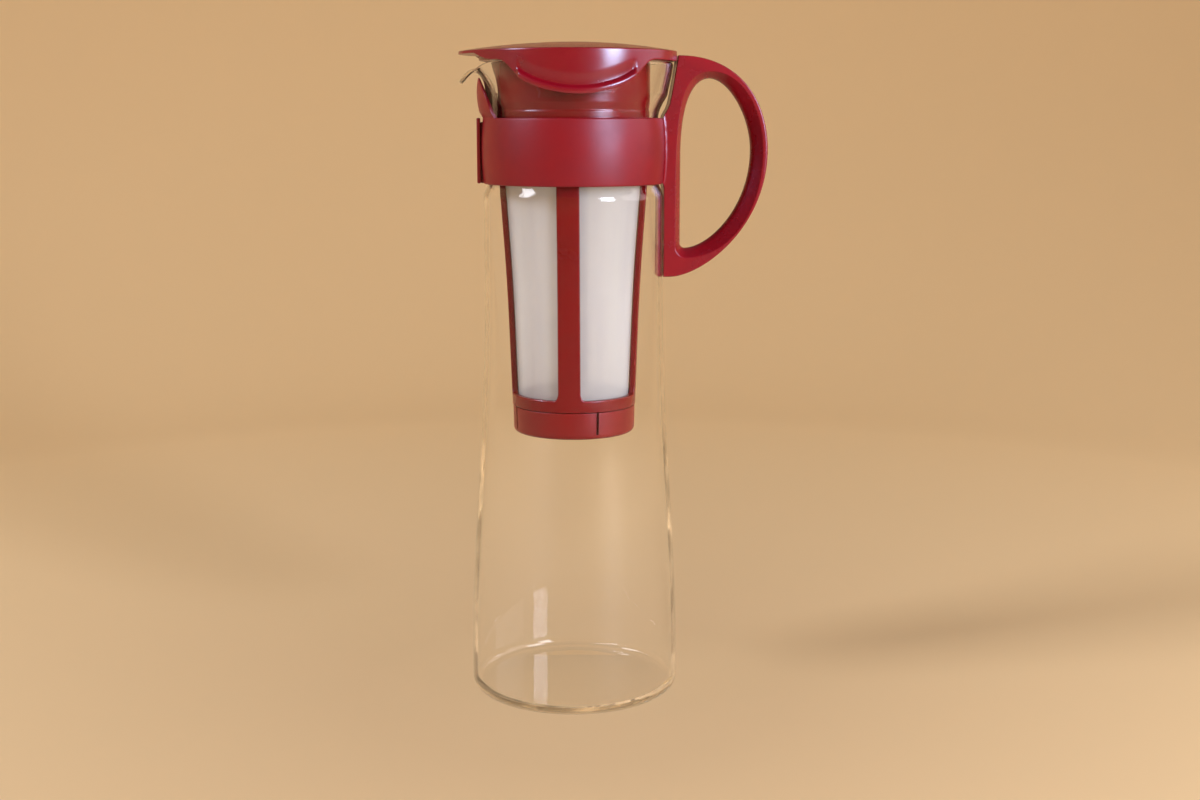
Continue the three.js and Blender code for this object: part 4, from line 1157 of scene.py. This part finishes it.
def lid_profile(angle):
    from_front, from_back = turn_from(angle, FRONT), turn_from(angle, BACK)
    turn = min(abs(from_front), abs(from_back))
    beak = swell(turn_from(angle, SPOUT), BEAK_HALF_TURN)
    under = FLANGE_TOP + PIECE_GAP
    cos, _ = cos_sin(angle)
    circle = min(LID_RADIUS, LID_FLAT / cos) if cos > 0 else LID_RADIUS
    radius = lerp(circle, BEAK_REACH, beak)
    side = lerp(SKIRT_HEIGHT, under + BEAK_LIFT, min(beak / BEAK_RISE_SHARE, 1))
    low = lerp(APRON_HEIGHT, side, apron_rise_at(turn))
    ease = float(smoothstep((LIP_HALF_TURN - turn) / LIP_FADE_TURN))
    lip, scoop = LIP_PROUD * ease, SCOOP_DEPTH * ease
    edge_height = LID_RIM_HEIGHT - LID_EDGE
    lip_height = min(LIP_HEIGHT, (edge_height - low) * LIP_ROOM_SHARE)
    wall = max(radius - LID_WALL, FLANGE_RADIUS + PIECE_GAP)
    inside = lerp(wall, FLANGE_RADIUS + PIECE_GAP, beak)
    plug_radius = COLLAR_BORE - PIECE_GAP
    plug_bottom = under - PLUG_DEPTH
    dome = [
        (radius * share, LID_APEX - (LID_APEX - LID_RIM_HEIGHT) * share**2)
        for share in np.linspace(0, 1 - DOME_MARGIN * LID_EDGE / radius, DOME_POINTS)
    ]
    root = low + lip_height
    hollow = min(SCOOP_HEIGHT, (edge_height - root) * LIP_ROOM_SHARE)
    face = [
        (radius - scoop * deep, root + hollow * up)
        for up, deep in zip(SCOOP_RISE_SHARES, SCOOP_DEPTH_SHARES)
    ]
    face += [
        (lerp(radius - scoop, radius + lip, out), low + lip_height * up)
        for up, out in zip(LIP_RISE_SHARES, LIP_PROUD_SHARES)
    ]
    corner = [(radius, LID_RIM_HEIGHT), (radius, (edge_height + root + hollow) / 2)]
    edge = min(APRON_EDGE, (edge_height - low) / 3)
    rest = [
        (face[-1][0] - LIP_UNDERCUT, low),
        (inside, low), (inside, under), (plug_radius, under), (plug_radius, plug_bottom),
        (plug_radius - PLUG_WALL, plug_bottom), (plug_radius - PLUG_WALL, under),
        (plug_radius * HOLLOW_SHARE, LID_APEX - LID_PLATE - HOLLOW_DROP), (0, LID_APEX - LID_PLATE),
    ]
    reaches = [0] * len(dome) + [LID_EDGE, 0] + [0] * len(face) + [edge, *LID_INNER_ROUNDING]
    return rounded([*dome, *corner, *face, *rest], reaches, LID_EDGE_STEPS)


def make_lid():
    piece = ring_object("pot_lid", revolved(lid_profile, even_angles(LID_STEPS)))
    finish_piece(piece, "lid", "lid", "lid_plastic")


make_lid()


# Stage, lamps and camera, in metres
WALL_RADIUS = 1.35
WALL_HEIGHT = 1.1
WALL_BEND = 0.65
WALL_STEPS = 192
WALL_BEND_STEPS = 24
FLOOR_DROP = 0.0003
# Painted shade near the pot and painted light away from it: the tint pales with distance from the middle,
# over a span in metres, to even out the lamps' falloff
FLOOR_NEAR_SHADE_TINTS = ((0.605, 0.435, 0.25, 1.0), (0.585, 0.42, 0.24, 1.0))
FLOOR_FAR_LIGHT_TINTS = ((0.965, 0.72, 0.413, 1.0), (0.945, 0.705, 0.403, 1.0))
FLOOR_TINT_SPAN = (0.1, 0.65)


def floor_material():
    """A pale, warm, matte sweep, darker near the pot and paler away from it: painted shade on the near
    floor and painted light on the far floor and wall, which even out the lamps' falloff.
    """
    material, tree, place = new_material("floor")
    cloud = remap(tree, noise(tree, place, scale=1.4), 0.0, 1.0)
    near = mix_colour(tree, cloud, *FLOOR_NEAR_SHADE_TINTS)
    far = mix_colour(tree, cloud, *FLOOR_FAR_LIGHT_TINTS)
    away = add_node(tree, "VectorMath", {0: place}, operation="LENGTH").outputs["Value"]
    # Painted light and shade: the darker tint near the pot, the paler one on the far floor and wall
    tint = mix_colour(tree, remap(tree, away, 0.0, 1.0, *FLOOR_TINT_SPAN), near, far)
    inputs = {"Base Color": tint, "Roughness": 0.7, "Specular IOR Level": 0.25}
    show(tree, add_node(tree, "BsdfPrincipled", inputs))
    return material


def make_stage():
    """A round floor whose edge rises into a wall."""
    profile = np.vstack([
        [(0.0, 0.0)],
        quarter((WALL_RADIUS - WALL_BEND, 0.0), (WALL_RADIUS, WALL_BEND), WALL_BEND_STEPS),
        [(WALL_RADIUS, WALL_HEIGHT)],
    ])
    vertices = revolved(profile, even_angles(WALL_STEPS)).reshape(-1, 3).tolist()
    mesh = bpy.data.meshes.new("floor")
    mesh.from_pydata(vertices, [], grid_faces(WALL_STEPS, len(profile), True, False))
    mesh.shade_smooth()
    mesh.materials.append(floor_material())
    floor = new_object("floor", mesh)
    floor.location.z = -FLOOR_DROP


LAMP_SPREAD = 120.0
LAMP_TARGET = Vector((0.0, 0.0, 0.16))

# Each lamp's azimuth from the camera's side to the right, elevation, distance, size, watts, colour
LAMPS = {
    "key": (41.5, 17.0, 1.2, (0.38, 0.45), 6.9, (0.92, 0.93, 1.0)),
    "side": (-72.0, 35.0, 1.25, (0.3, 0.42), 4.2, (0.96, 0.96, 1.0)),
    "right": (88.0, 14.0, 1.2, (1.0, 0.9), 2.2, (0.98, 0.95, 0.95)),
}
WORLD_TINT = (0.97, 0.98, 1.0, 1.0)
WORLD_STRENGTH = 0.12


def add_lamp(name, azimuth, elevation, distance, size, power, colour):
    """A soft box that looks at the pot's middle and that the camera doesn't see."""
    turn, rise = math.radians(azimuth), math.radians(elevation)
    away = Vector((math.sin(turn) * math.cos(rise), -math.cos(turn) * math.cos(rise), math.sin(rise)))
    lamp = bpy.data.lights.new(name, "AREA")
    lamp.shape = "RECTANGLE"
    lamp.size, lamp.size_y = size
    lamp.energy = power
    lamp.color = colour
    lamp.spread = math.radians(LAMP_SPREAD)
    holder = new_object(name, lamp)
    holder.location = LAMP_TARGET + away * distance
    holder.rotation_euler = (-away).to_track_quat("-Z", "Y").to_euler()
    holder.visible_camera = False


def make_world():
    world = bpy.data.worlds.new("studio")
    world.use_nodes = True
    background = world.node_tree.nodes["Background"]
    background.inputs["Color"].default_value = WORLD_TINT
    background.inputs["Strength"].default_value = WORLD_STRENGTH
    bpy.context.scene.world = world


CAMERA_PLACE = (-0.03102, -0.72443, 0.2639)
CAMERA_TILT = 79.97
CAMERA_TURN = -3.4
CAMERA_LENS = 47.85


def make_camera():
    camera = bpy.data.cameras.new("camera")
    camera.lens = CAMERA_LENS
    holder = new_object("camera", camera)
    holder.location = CAMERA_PLACE
    holder.rotation_euler = (math.radians(CAMERA_TILT), 0.0, math.radians(CAMERA_TURN))
    bpy.context.scene.camera = holder


make_stage()
for lamp_name, lamp_facts in LAMPS.items():
    add_lamp(lamp_name, *lamp_facts)
make_world()
make_camera()
bpy.context.scene.view_settings.view_transform = "Standard"
